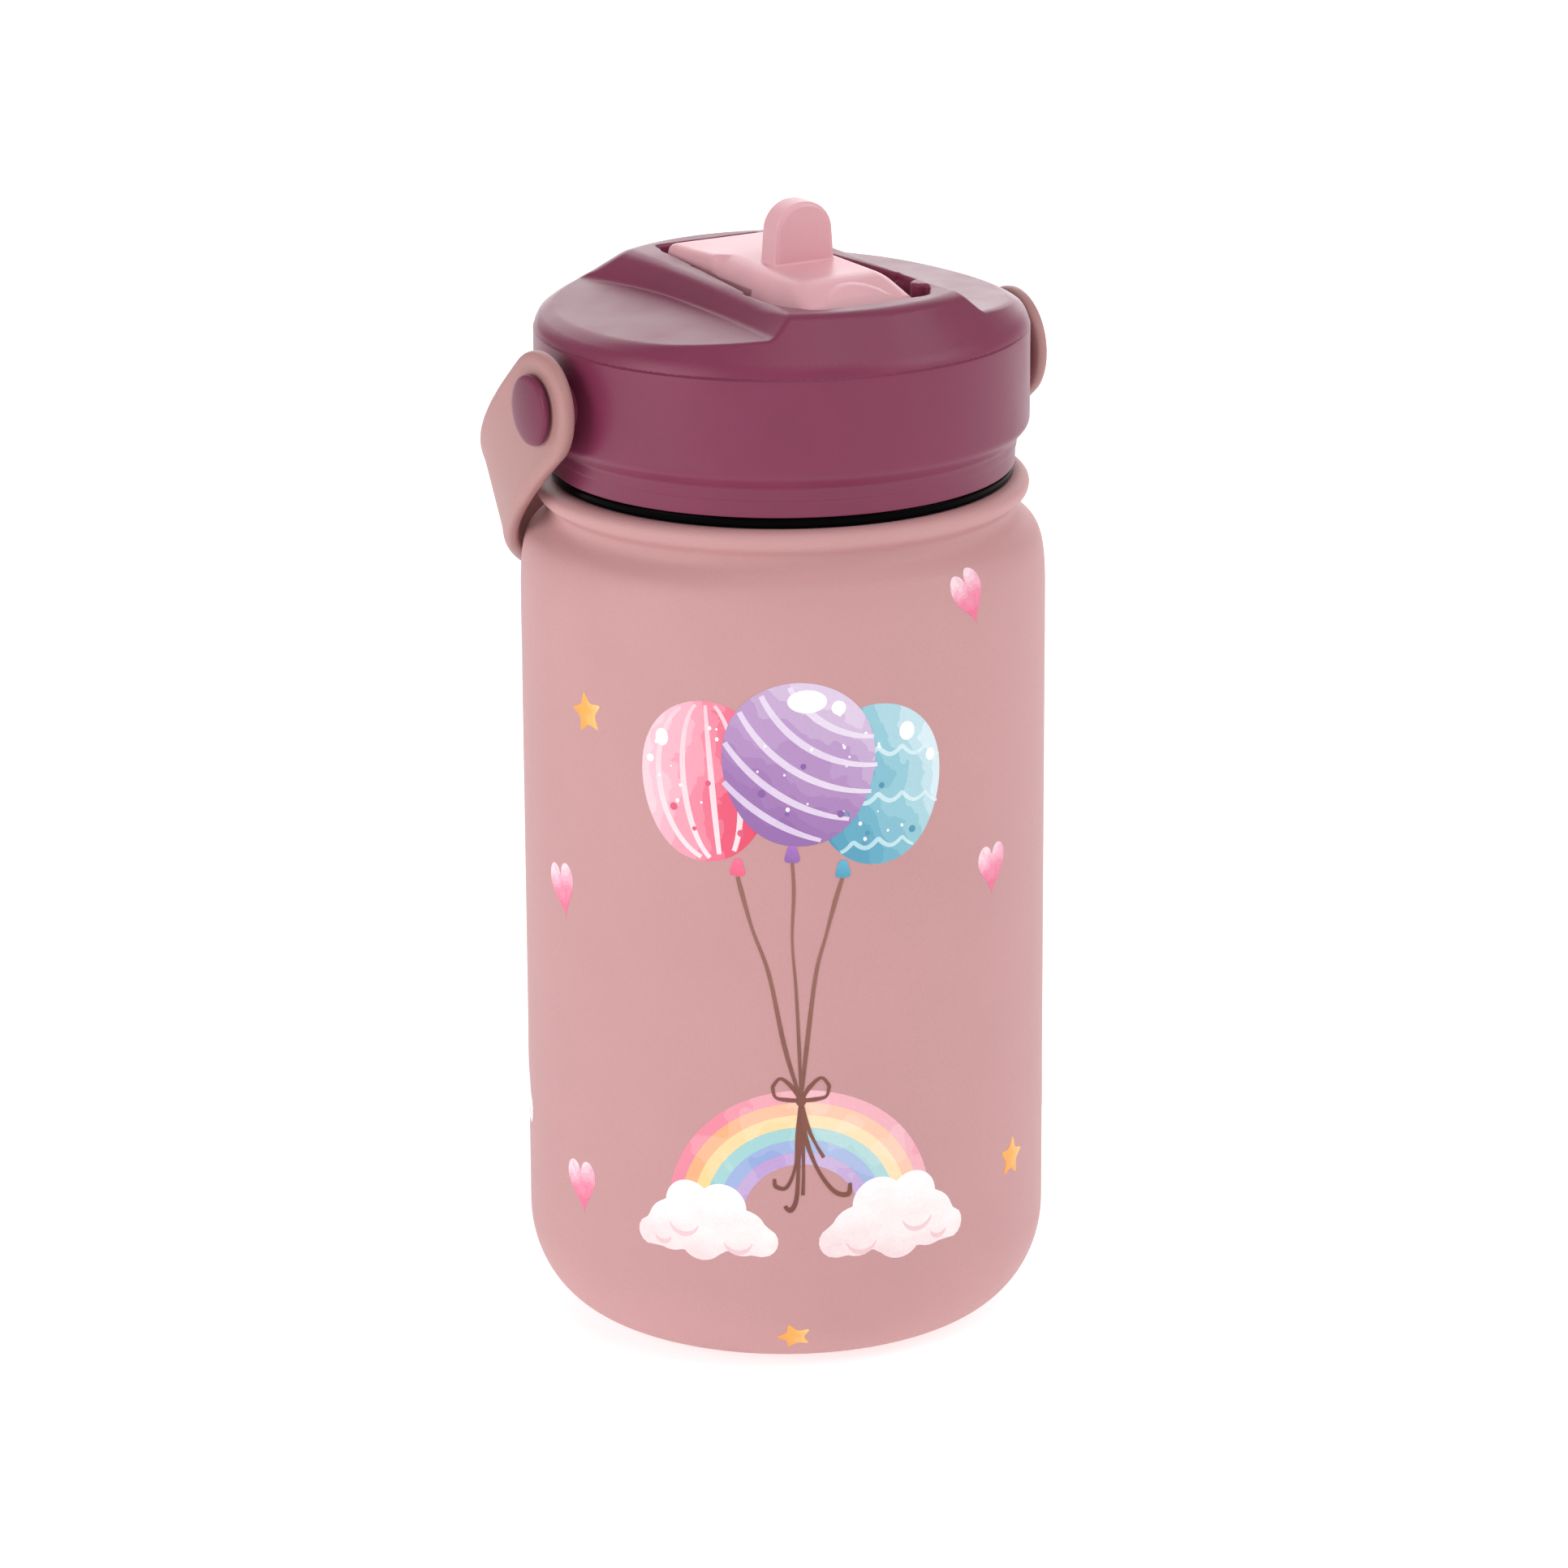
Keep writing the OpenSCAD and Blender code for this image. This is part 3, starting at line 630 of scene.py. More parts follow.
def spout_field(x, y, z):
    """The flip spout: a round valve hub, a flat mouthpiece behind it and the upright finger tab."""
    hub_y, hub_z = HINGE[1:]
    wide = np.abs(x)
    mouth = smooth_step(y, 2.6, 5.4)
    drop = np.maximum(CREST - z, 0)
    half = (6.75 + 0.62 * drop) * (1 - mouth) + (7.75 + 0.28 * drop) * mouth
    side_x = 9.4 - 1.0 * smooth_step(y, -7.6, -6.4)
    half = -both(-half, -side_x, 1.0)
    flank = (wide - half) * 0.86
    tip = 0.37 * (wide - 8.3) + 0.93 * (y - 17.35)
    plan = both(both(flank, y - SPOUT_END, 0.5), tip, 0.6)
    form = both(plan, in_plan(SPOUT_SIDE, y, z, "side"), 1.35 - 0.75 * mouth)
    arch = (np.hypot(x / 6.2, (z - 146.6) / 3.75) - 1) * 3.75
    arch = both(both(form - 0.34, arch, 0.3), y + 13.5, 0.1)
    arch = np.maximum(arch, np.hypot(y - hub_y, z - hub_z) - HUB_R)
    form = np.minimum(form, arch)

    tab_z = SPOUT_HIGH[2] - 0.05
    lean = 4.7 - 0.07 * (z - CREST)
    face = both(wide - lean, z - tab_z, 3.9)
    tab = both(face, np.abs(y + 4.4) - 1.98, 0.4)
    panel = both(face + 0.42, np.abs(y + 4.4) - 2.14, 0.25)
    tab = np.maximum(either(tab, panel, 0.12), 147 - z)
    form = either(form, tab, 0.3)
    form = without(form, np.hypot(x, z - hub_z) - 2.4, 0.35)
    return np.maximum(form, PIN_R + 0.05 - np.hypot(y - hub_y, z - hub_z))


def make_spout():
    """The pink spout, and the soft washer on each side of its hub."""
    solid("spout_shell", spout_field, SPOUT_LOW, SPOUT_HIGH, 0.2, SPOUT_SKIN, "spout", "pink_plastic",
          ["flip_spout"])
    bore_r, rim_r, out_x, in_x = PIN_R + 0.1, 2.9, WASHER_HIGH[0], WASHER_HIGH[0] - 0.4
    outline = rounded([(bore_r, in_x), (rim_r, in_x), (rim_r, out_x), (bore_r, out_x)], 0.1)
    (left, faces), (right, _) = sideways(outline, -1), sideways(outline, 1)
    faces = faces + [[k + len(left) for k in face] for face in faces]
    tidy(piece("hub_washer_pair", np.vstack([left, right]) + HINGE * (0, 1, 1), faces, SOFT_WHITE, "spout",
               "white_silicone", ["hub_washers"]))


# ---- strap ----

def strap_mid(w):
    """Centre line of the strap, at w radians round from the right rivet."""
    r = STRAP_X + STRAP_T / 2 + 0.9 * np.sin(w) + 1.5 * np.sin(2 * w) ** 2
    return np.stack([r * np.cos(w), r * np.sin(w), SWING[2] - STRAP_DROP * np.sin(w)], -1)


def strap_frame(w):
    """Direction along the strap, across it and out of it."""
    along = strap_mid(w + 0.01) - strap_mid(w - 0.01)
    along /= np.linalg.norm(along, axis=-1, keepdims=True)
    lean = np.radians(40) * np.abs(np.cos(w)) ** 1.5
    across = np.stack([0 * w, np.sin(lean), np.cos(lean)], -1)
    out = np.cross(along, across)
    return along, across, out / np.linalg.norm(out, axis=-1, keepdims=True)


def make_strap():
    """A flat band with round ends and soft edges, then bent along its centre line."""
    w = np.linspace(0, math.pi, 721)
    mid = strap_mid(w)
    length = np.concatenate([[0], np.cumsum(np.linalg.norm(np.diff(mid, axis=0), axis=1))])
    whole = length[-1]

    def flat_field(s, t, n):
        turn = np.interp(s, length, w)
        half = STRAP_END_R - 1.2 * np.sin(turn)
        past = np.maximum(np.maximum(-s, s - whole), 0)
        outline = np.hypot(past, t) - half
        hole = np.minimum(np.hypot(s, t), np.hypot(s - whole, t)) - 2.7
        bead = 0.12 * smooth_step(-outline, 0.4, 1.2) * (1 - smooth_step(-outline, 1.4, 2.6))
        form = both(outline, np.abs(n) - STRAP_T / 2 + 0.14 - bead, 0.75)
        return without(form, hole, 0.2)

    low = (-STRAP_END_R, -STRAP_END_R, -STRAP_T / 2)
    high = (whole + STRAP_END_R, STRAP_END_R, STRAP_T / 2)
    points, faces = net(flat_field, low, high, 0.36)
    s, t, n = points.T
    turn = np.interp(s, length, w)
    along, across, out = strap_frame(turn)
    past = (np.minimum(s, 0) + np.maximum(s - whole, 0))[:, None]
    bent = strap_mid(turn) + along * past + across * t[:, None] + out * n[:, None]
    tidy(piece("strap_band", bent, faces, STRAP_SKIN, "strap", "pink_silicone", ["carry_strap"]))


def make_rivets():
    """One domed cap on each side, with a shank through the strap and the boss."""
    head_x, top_x = RIVET_HIGH[0] - RIVET_HEAD_T, RIVET_HIGH[0]
    inner_x, head_r = RIVET_LOW[0], RIVET_HIGH[2] - SWING[2]
    dome = arc((head_r - 0.6, head_x + 0.45), (0.6, 0.5), 0, 62, 6)
    sink = [(r, top_x - 0.3 * (r / (head_r - 0.9)) ** 2) for r in np.linspace(head_r - 0.9, 0, 8)]
    outline = np.vstack([[(0, inner_x), (SHANK_R, inner_x), (SHANK_R, head_x), (head_r - 0.15, head_x),
                          (head_r, head_x + 0.15)], dome, sink])
    for side, name in ((1, "right"), (-1, "left")):
        points, faces = sideways(outline, side)
        tidy(piece(f"rivet_cap_{name}", points + (0, 0, SWING[2]), faces, RIVET_SKIN, "lid", "plum_plastic",
                   [f"strap_rivet_{name}"]))


# ---- print ----

SKIN_WAY = np.concatenate([[0], np.cumsum(np.linalg.norm(np.diff(SKIN, axis=0), axis=1))])
SKIN_WAY += 50 - np.interp(50, SKIN[:, 1], SKIN_WAY)
FILM = 0.012  # thickness of one layer of ink


def on_skin(art, lift):
    """Places on the coated skin, from art's [millimetres right of the front, height up the side]."""
    def skin(height):
        return np.array([np.interp(height, SKIN_WAY, SKIN[:, k]) for k in (0, 1)])

    angle = np.radians(FRONT) + art[:, 0] / BODY_R
    r, z = skin(art[:, 1])
    dr, dz = skin(art[:, 1] + 0.3) - skin(art[:, 1] - 0.3)
    size = np.hypot(dr, dz)
    r, z = r + lift * dz / size, z - lift * dr / size
    return np.stack([r * np.cos(angle), r * np.sin(angle), z], 1)


def film(outline, layer, centre, half, pitch):
    """Points, faces and art map of one closed patch of ink inside an outline."""
    outline = np.asarray(outline, float)
    low, high = outline.min(0), outline.max(0)
    grid = np.stack(np.meshgrid(np.arange(low[0], high[0], pitch), np.arange(low[1], high[1], pitch)), -1)
    grid = grid.reshape(-1, 2)
    depth = polygon_distance(outline, grid[:, 0], grid[:, 1])
    grid = grid[depth < -0.45 * pitch]
    edges = [(k, (k + 1) % len(outline)) for k in range(len(outline))]
    found = delaunay_2d_cdt([Vector(p) for p in np.vstack([outline, grid])], edges,
                            [list(range(len(outline)))], 1, 1e-5)
    flat, faces = np.array([list(p) for p in found[0]]), [list(f) for f in found[2]]
    count = len(flat)
    points = np.vstack([on_skin(flat, FILM * (layer + 1)), on_skin(flat, 0.002)])
    sides = {}
    for f in faces:
        for a, b in zip(f, f[1:] + f[:1]):
            sides[(a, b)] = True
    rim = [[b, a, a + count, b + count] for a, b in sides if (b, a) not in sides]
    under = [[k + count for k in f[::-1]] for f in faces]
    art = (np.vstack([flat, flat]) - centre) / half
    return points, faces + under + rim, art


def printed(name, patches, material, slot="print_ink", pitch=1.0):
    """One piece of ink from patches of [outline, layer, centre, half size]."""
    points, faces, art = [], [], []
    for patch in patches:
        p, f, a = film(*patch, pitch)
        shift = sum(map(len, points))
        points.append(p)
        faces += [[k + shift for k in face] for face in f]
        art.append(a)
    made = piece(name, np.vstack(points), faces, material, "bottle", slot)
    work = bmesh.new()
    work.from_mesh(made.data)
    bmesh.ops.recalc_face_normals(work, faces=work.faces)
    for edge in work.edges:
        if len(edge.link_faces) == 2 and edge.calc_face_angle() > 1.0:
            edge.smooth = False
    layer, where = work.loops.layers.uv.new("art"), np.vstack(art)
    for face in work.faces:
        for loop in face.loops:
            loop[layer].uv = where[loop.vert.index]
    work.to_mesh(made.data)
    work.free()
    return made


def ribbon(points, widths, smooth=5):
    """Outline of a brush stroke along points, with its width at each of them."""
    points, widths = np.array(points, float), np.array(widths, float)
    t = np.arange(len(points))
    fine = np.linspace(0, len(points) - 1, (len(points) - 1) * smooth + 1)
    spread = np.array([catmull(points, k) for k in fine])
    wide = np.interp(fine, t, widths)[:, None] / 2
    along = np.gradient(spread, axis=0)
    normal = np.stack([-along[:, 1], along[:, 0]], 1) / np.linalg.norm(along, axis=1)[:, None]
    return np.vstack([spread + normal * wide, (spread - normal * wide)[::-1]])


def catmull(points, t):
    """A place on the smooth line through points."""
    k = min(int(t), len(points) - 2)
    f = t - k
    a, b, c, d = points[max(k - 1, 0)], points[k], points[k + 1], points[min(k + 2, len(points) - 1)]
    return 0.5 * (2 * b + (c - a) * f + (2 * a - 5 * b + 4 * c - d) * f ** 2
                  + (3 * b - a - 3 * c + d) * f ** 3)


def disc(centre, radius, stretch=1.0, steps=28):
    """Outline of a round spot, stretched upward."""
    return arc(centre, (radius, radius * stretch), 0, 360 - 360 / steps, steps - 1)


def balloon_outline(centre, half, steps=64):
    """A round balloon that narrows a little towards its knot."""
    w = np.linspace(0, 2 * math.pi, steps, endpoint=False)
    narrow = 1 - 0.07 * (1 - np.sin(w)) * np.abs(np.cos(w))
    return np.stack([centre[0] + half[0] * np.cos(w) * narrow, centre[1] + half[1] * np.sin(w)], 1)


def inside_stroke(points, centre, half, shrink=0.97):
    """The part of a stroke that lies inside a balloon."""
    points = np.array(points)
    away = np.hypot((points[:, 0] - centre[0]) / half[0], (points[:, 1] - centre[1]) / half[1])
    return points[away < shrink]


def stroke(points, width, centre, half):
    """A tapering brush stroke, kept inside a balloon."""
    kept = inside_stroke(points, centre, half)
    if len(kept) < 6:
        return None
    taper = width * (0.55 + 0.45 * np.sin(np.linspace(0.15, 1, len(kept)) * math.pi))
    return ribbon(kept, taper, 2)


def heart(centre, half, turn, steps=44):
    """Outline of a heart, turned anticlockwise by turn radians."""
    t = np.linspace(0, 2 * math.pi, steps, endpoint=False)
    x = 16 * np.sin(t) ** 3 / 16
    y = (13 * np.cos(t) - 5 * np.cos(2 * t) - 2 * np.cos(3 * t) - np.cos(4 * t) + 2.5) / 14.5
    c, s = math.cos(turn), math.sin(turn)
    x, y = x * half[0], y * half[1]
    return np.stack([centre[0] + c * x - s * y, centre[1] + s * x + c * y], 1)


def star(centre, radius, turn):
    """Outline of a soft five-pointed star, turned anticlockwise by turn degrees."""
    w = np.radians(90 + turn + 36 * np.arange(10))
    r = np.where(np.arange(10) % 2, 0.47, 1.0) * radius
    return rounded(np.stack([centre[0] + r * np.cos(w), centre[1] + r * np.sin(w)], 1), 0.2 * radius, 4)


def cloud(centre, puffs, steps=90):
    """Outline of a cloud: how far overlapping puffs reach from its middle."""
    w = np.linspace(0, 2 * math.pi, steps, endpoint=False)
    reach = np.zeros(steps)
    for x, y, r in puffs:
        ahead = x * np.cos(w) + y * np.sin(w)
        room = r * r - (x * x + y * y - ahead ** 2)
        reach = np.maximum(reach, np.where(room > 0, ahead + np.sqrt(np.maximum(room, 0)), 0))
    return np.stack([centre[0] + reach * np.cos(w), centre[1] + reach * np.sin(w)], 1)


def rainbow_band(centre, inner, outer, steps=48):
    """Outline of one band of a rainbow."""
    w = np.radians(np.linspace(-8, 188, steps))
    ring = np.stack([np.cos(w), np.sin(w)], 1)
    return np.vstack([centre + ring * outer, (centre + ring * inner)[::-1]])


# Shift of the three repeats of the picture: millimetres round the bottle and up it
REPEATS = [(0.0, 0.0), (2 * math.pi * BODY_R / 3, 9.0), (-2 * math.pi * BODY_R / 3, 9.0)]


def repeated(patches):
    """Patches on all sides of the bottle."""
    out = []
    for shift in REPEATS:
        shift = np.array(shift)
        out += [[np.array(o) + shift, layer, np.array(c) + shift, h] for o, layer, c, h in patches]
    return out


def scattered(patches):
    """Patches at the front, and their repeats that stay clear of it."""
    spread = repeated(patches)
    return spread[:len(patches)] + [p for p in spread[len(patches):] if abs(p[2][0]) > 50]


BALLOONS = {
    "pink": ((-10.9, 86.2), (10.0, 11.3)),
    "teal": ((13.0, 85.5), (10.2, 11.3)),
    "purple": ((2.05, 88.9), (11.3, 11.5)),
}


def make_balloons():
    """Three balloons in washes of colour, each with light strokes, highlights and specks."""
    rng = np.random.default_rng(7)
    washes = {
        "pink": watercolour("ink_pink", [rgb(249, 206, 216), rgb(247, 178, 194), rgb(241, 136, 160),
                                         rgb(234, 84, 116), rgb(231, 62, 98)], (0.98, -0.15), 0.16),
        "teal": watercolour("ink_teal", [rgb(66, 150, 182), rgb(98, 174, 198), rgb(150, 204, 216),
                                         rgb(216, 236, 243)], (0.85, 0.35), 0.16),
        "purple": watercolour("ink_purple", [rgb(148, 104, 170), rgb(166, 124, 182), rgb(188, 154, 200),
                                             rgb(222, 202, 228)], (0.45, 0.85), 0.16),
    }
    lines = {
        "pink": watercolour("ink_line_pink", [rgb(253, 226, 232), rgb(250, 205, 216)], (0, 1)),
        "teal": watercolour("ink_line_teal", [rgb(170, 216, 226), rgb(222, 241, 246)], (0.8, 0.3)),
        "purple": watercolour("ink_line_purple", [rgb(218, 198, 228), rgb(238, 226, 242)], (0.6, 0.5)),
    }
    dots = {"pink": rgb(228, 90, 124), "teal": rgb(70, 150, 176), "purple": rgb(138, 92, 164)}
    for name, (centre, half) in BALLOONS.items():
        layer = 2 if name == "purple" else 0
        centre, half = np.array(centre), np.array(half)
        base = [[balloon_outline(centre, half), layer, centre, half]]
        printed(f"print_balloon_{name}", repeated(base), washes[name])

        strokes = []
        if name == "purple":
            w = np.radians(np.linspace(170, 300, 60))
            for r in (9.2, 13.9, 17.9, 21.6, 25.6, 29.2):
                path = centre + (11.1, 17.3) + np.stack([np.cos(w), np.sin(w)], 1) * r
                strokes.append(stroke(path, 1.0, centre, half))
        elif name == "pink":
            up = np.linspace(-1, 1, 40)
            for lean in (-0.78, -0.42, -0.02, 0.36):
                path = centre + np.stack([half[0] * (lean * np.sqrt(1.02 - up ** 2) + 0.12 - 0.1 * up),
                                          half[1] * up], 1)
                strokes.append(stroke(path, 0.85, centre, half))
        else:
            for row in (0.46, -0.12, -0.68):
                way = np.linspace(-0.9, 0.95, 60)
                dip = 0.1 * np.abs(np.sin(way * 9)) + 0.12 * way ** 2
                path = centre + np.stack([half[0] * way, half[1] * (row - dip)], 1)
                strokes.append(stroke(path, 0.66, centre, half))
        strokes = [[s, layer + 1, centre, half] for s in strokes if s is not None]
        printed(f"print_strokes_{name}", repeated(strokes), lines[name])

        specks = []
        for _ in range(10):
            place = centre + half * rng.uniform(-0.75, 0.75, 2) * (0.95, 0.9)
            specks.append([disc(place, rng.uniform(0.13, 0.31), 1.1, 10), layer + 2, centre, half])
        shine = {"purple": [((0.1, 0.77), 2.7, 0.6), ((0.48, 0.68), 1.0, 1.0)],
                 "pink": [((-0.62, 0.5), 0.95, 1.3), ((-0.8, 0.22), 0.55, 1.0)],
                 "teal": [((0.42, 0.62), 1.15, 1.15), ((0.78, 0.28), 0.7, 1.3)]}[name]
        specks += [[disc(centre + half * np.array(at), r, tall), layer + 2, centre, half]
                   for at, r, tall in shine]
        printed(f"print_highlights_{name}", repeated(specks), WHITE_INK)
        marks = [[disc(centre + half * np.array(at), r, 1.0, 14), layer + 2, centre, half]
                 for at, r in (((-0.45, -0.35), 0.55), ((0.05, -0.02), 0.4), ((0.5, -0.62), 0.5),
                               ((-0.15, -0.6), 0.32))]
        dot_ink = watercolour(f"ink_dot_{name}", [dots[name], shade(dots[name], 0.9)], (0, 1))
        printed(f"print_dots_{name}", repeated(marks), dot_ink)

        knot_at = centre + {"pink": (4.5, -11.9), "teal": (-5.0, -11.6), "purple": (-1.0, -12.6)}[name]
        knot = rounded([knot_at + p for p in ((-0.5, 1.3), (0.5, 1.3), (1.25, -1.2), (-1.25, -1.2))], 0.9)
        knot_ink = watercolour(f"ink_knot_{name}", [shade(dots[name], 1.1), shade(dots[name], 1.5)], (0.3, 1))
        printed(f"print_knot_{name}", repeated([[knot, 4, knot_at, np.array([1.3, 1.3])]]), knot_ink)


BOW = np.array([2.1, 41.0])


def make_strings():
    """Three strings that run from the knots to one bow, and its loose ends."""
    half = np.array([10.0, 20.0])
    ropes = [
        ([(-6.4, 73.0), (-5.8, 70.6), (-4.4, 65.5), (-2.2, 59.2), (-0.1, 48.7), BOW], 0.52),
        ([(1.05, 75.2), (1.25, 70.8), (1.0, 64.0), (1.5, 56.8), (1.9, 48.0), BOW], 0.4),
        ([(7.9, 72.6), (6.9, 69.4), (5.6, 64.5), (4.2, 59.1), (2.9, 48.6), BOW], 0.52),
    ]
    tails = [
        ([BOW, (1.9, 36.5), (1.7, 31.0), (1.4, 26.6), (0.6, 25.0), (-0.2, 25.6)], 0.6),
        ([BOW, (2.6, 36.0), (4.3, 31.0), (6.6, 27.6), (8.6, 27.0), (8.9, 28.6)], 0.6),
        ([BOW, (1.6, 36.0), (1.3, 31.5), (0.1, 28.4), (-1.4, 28.5), (-1.6, 29.6)], 0.5),
        ([BOW, (3.0, 37.2), (4.1, 34.6), (5.2, 32.6)], 0.5),
        ([BOW, (2.3, 36.0), (2.4, 31.0), (2.3, 27.2)], 0.5),
    ]
    loops = []
    for side in (-1, 1):
        tip = BOW + (side * 3.9, 2.0)
        loops.append(([BOW, BOW + (side * 1.2, 1.9), BOW + (side * 2.8, 3.2), tip], 0.5))
        loops.append(([BOW, BOW + (side * 1.9, 0.1), BOW + (side * 3.5, 0.5), tip], 0.5))

    def strokes(lines, layer):
        out = []
        for points, width in lines:
            wide = width * (1 + 0.25 * np.sin(np.arange(len(points)) * 2.1))
            out.append([ribbon(points, wide), layer, BOW, half])
        return out

    light = watercolour("ink_string", [rgb(104, 58, 48), rgb(128, 80, 66), rgb(146, 98, 82)], (0.1, 0.8))
    dark = watercolour("ink_bow", [rgb(112, 62, 46), rgb(138, 82, 62)], (0.3, 0.6))
    printed("print_strings", repeated(strokes(ropes, 4)), light)
    knot = [[disc(BOW, 0.75, 1.1, 16), 6, BOW, half]]
    printed("print_bow", repeated(strokes(loops + tails, 5) + knot), dark)


def make_rainbow():
    """A rainbow that hangs from the bow, with a white cloud at each foot."""
    centre = np.array([2.1, 23.5])
    outer, inner = 19.0, 8.2
    colours = [rgb(240, 138, 160), rgb(249, 178, 128), rgb(252, 216, 148), rgb(150, 208, 208),
               rgb(146, 172, 222), rgb(192, 160, 214)]
    width = (outer - inner) / len(colours)
    for k, colour in enumerate(colours):
        r = outer - k * width
        tints = [shade(colour, 0.93), colour, blend_colours(colour, WHITE, 0.35)]
        wash = watercolour(f"ink_arc_{k + 1}", tints, (0.5, 0.7), 0.35)
        band = rainbow_band(centre, r - width, r)
        printed(f"print_arc_{k + 1}", repeated([[band, k % 2, centre, np.array([outer, outer])]]), wash)
    shape = [(0, 0, 4.6), (-5.2, -0.8, 3.4), (5.0, -0.6, 3.7), (-2.2, 2.6, 3.6), (2.6, 3.0, 3.3),
             (-8.0, -2.0, 2.2), (8.2, -2.0, 2.1), (0.5, -1.8, 3.4)]
    sweep, fold_width = np.radians(np.linspace(200, 340, 9)), 0.7 * np.sin(np.linspace(0.12, 3.02, 9))
    clouds, shadows = [], []
    for side, size in ((-1, 1.0), (1, 1.08)):
        middle = centre + (side * 13.4, -1.2)
        half = np.array([10.0, 6.0]) * size
        puffs = [(side * x * size, y * size, r * size) for x, y, r in shape]
        clouds.append([cloud(middle, puffs), 2, middle, half])
        for x, y, r in ((-4.6, -1.6, 2.1), (3.2, 0.6, 2.3), (6.4, -2.0, 1.3)):
            spot = middle + np.array([side * x, y]) * size
            fold = spot + np.stack([np.cos(sweep), np.sin(sweep)], 1) * r * size
            shadows.append([ribbon(fold, fold_width, 2), 3, middle, half])
    cloud_ink = watercolour("ink_cloud", [rgb(246, 222, 224), rgb(252, 240, 240), rgb(255, 252, 252)],
                            (0.2, 0.9), 0.3)
    fold_ink = watercolour("ink_cloud_fold", [rgb(240, 198, 204), rgb(246, 216, 220)], (0.2, 0.9))
    printed("print_clouds", repeated(clouds), cloud_ink)
    printed("print_cloud_folds", repeated(shadows), fold_ink)


def make_confetti():
    """Hearts and stars scattered round the pictures."""
    hearts = [((28.2, 109.2), (2.9, 3.9), 0.28), ((32.7, 69.7), (2.9, 3.6), 0.02),
              ((-36.3, 66.0), (3.0, 3.9), 0.22), ((-32.6, 23.6), (3.1, 3.8), 0.12)]
    stars = [((-30.1, 92.9), 3.2, 12), ((38.1, 26.0), 3.2, -8), ((1.1, 5.0), 2.9, 18)]
    deep, light = rgb(236, 112, 148), rgb(252, 218, 228)
    heart_ink = watercolour("ink_heart", [deep, deep, rgb(240, 138, 168), rgb(246, 176, 198), light],
                            (-0.2, 1), 0.2)
    star_ink = watercolour("ink_star", [rgb(244, 158, 56), rgb(248, 176, 78), rgb(250, 208, 134)],
                           (0.9, 0.3), 0.2)
    patches, points = [], []
    for centre, half, turn in hearts:
        centre, half = np.array(centre), np.array(half)
        patches.append([heart(centre, half, turn), 1, centre, half])
    for centre, radius, turn in stars:
        points.append([star(centre, radius, turn), 1, np.array(centre), np.array([radius, radius])])
    printed("print_hearts", scattered(patches), heart_ink, pitch=0.5)
    printed("print_stars", scattered(points), star_ink, pitch=0.5)


# ---- studio ----

def look_at(obj, target):
    """Turns a camera or light so that it faces a point."""
    obj.rotation_euler = (Vector(target) - obj.location).to_track_quat("-Z", "Y").to_euler()


def add_camera():
    """A long lens from the front left, a little above the bottle."""
    target = Vector((0, 0, 0.075))
    turn, rise, distance = math.radians(-30), math.radians(17.2), 0.9447
    data = bpy.data.cameras.new("camera")
    data.lens = 154.7
    data.sensor_width = 36
    made = bpy.data.objects.new("camera", data)
    bpy.context.scene.collection.objects.link(made)
    made.location = target + distance * Vector(
        (math.sin(turn) * math.cos(rise), -math.cos(turn) * math.cos(rise), math.sin(rise)))
    look_at(made, target)
    made.rotation_euler.rotate_axis("Z", math.radians(-0.3))
    bpy.context.scene.camera = made


def add_light(name, place, power, size, target=(0, 0, 0.08)):
    """A square soft box that faces the bottle, unseen by the camera itself."""
    data = bpy.data.lights.new(name, "AREA")
    data.energy, data.size = power, size
    made = bpy.data.objects.new(name, data)
    made.visible_camera = False
    bpy.context.scene.collection.objects.link(made)
    made.location = place
    look_at(made, target)


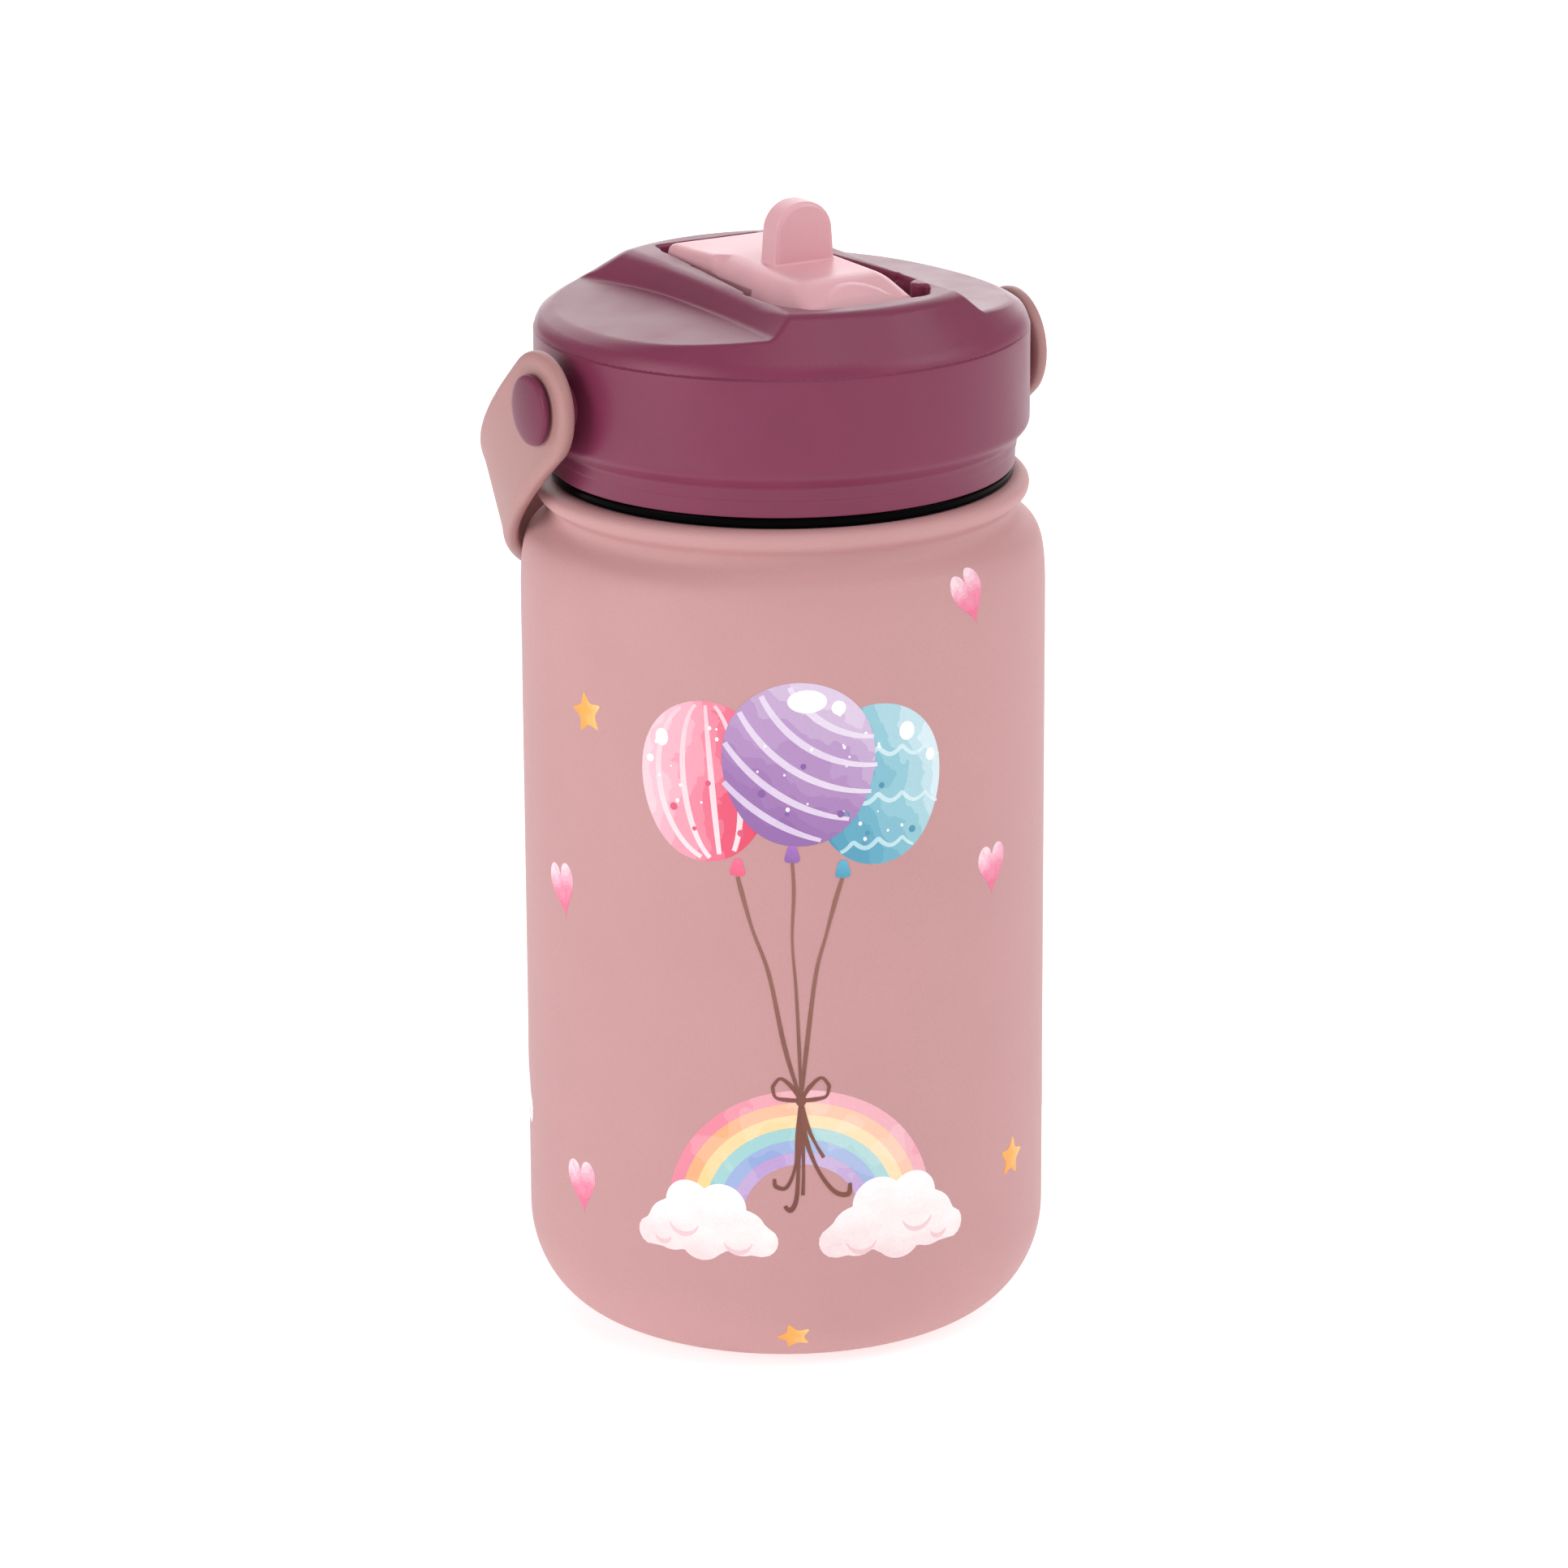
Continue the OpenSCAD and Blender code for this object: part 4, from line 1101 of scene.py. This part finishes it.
def make_stage():
    """A wide pale floor under a white sky, and four soft boxes."""
    reach = 12.0
    mesh = bpy.data.meshes.new("floor")
    mesh.from_pydata([(-reach, -reach, 0), (reach, -reach, 0), (reach, reach, 0), (-reach, reach, 0)], [],
                     [(0, 1, 2, 3)])
    m = Nodes("floor_paper")
    place = m.add("ShaderNodeTexCoord").outputs["Object"]
    tone = m.mix(m.spread(m.noise(place, 40.0), 0, 1), rgb(214, 214, 214), rgb(219, 219, 219))
    m.wire(Base_Color=tone, Roughness=0.9, Emission_Color=WHITE, Emission_Strength=0.62)
    mesh.materials.append(m.material)
    floor = bpy.data.objects.new("floor", mesh)
    bpy.context.scene.collection.objects.link(floor)
    floor.location.z = -0.2 * MM  # just clear of the bottle's base

    world = bpy.data.worlds.new("studio")
    world.use_nodes = True
    sky = world.node_tree.nodes["Background"]
    sky.inputs["Color"].default_value = (1, 1, 1, 1)
    seen = world.node_tree.nodes.new("ShaderNodeMapRange")
    seen.inputs["To Min"].default_value, seen.inputs["To Max"].default_value = 0.42, 1.0
    path = world.node_tree.nodes.new("ShaderNodeLightPath")
    world.node_tree.links.new(path.outputs["Is Camera Ray"], seen.inputs["Value"])
    world.node_tree.links.new(seen.outputs["Result"], sky.inputs["Strength"])
    bpy.context.scene.world = world
    add_light("key", (0.85, -0.8, 0.85), 5.6, 0.8)
    add_light("left", (-1.2, -0.1, 0.45), 6.2, 0.8)
    add_light("top", (0, -0.5, 1.25), 3.5, 0.8)
    add_light("behind", (0.72, 1.24, 0.5), 12.8, 1.5)
    scene = bpy.context.scene
    scene.view_settings.view_transform = "Standard"
    scene.view_settings.look = "None"


WHITE_INK = watercolour("ink_white", [rgb(246, 240, 248), rgb(255, 253, 255)], (0.3, 0.8))

add_camera()
make_stage()
for skin, node_names in CAD_SKINS.items():
    for node_name in node_names:
        for each in frame["nodes"][node_name].material_slots:
            each.material = skin
make_body()
make_seal()
make_neck_thread()
make_ring()
make_cover()
make_spout()
make_strap()
make_rivets()
make_rainbow()
make_balloons()
make_strings()
make_confetti()
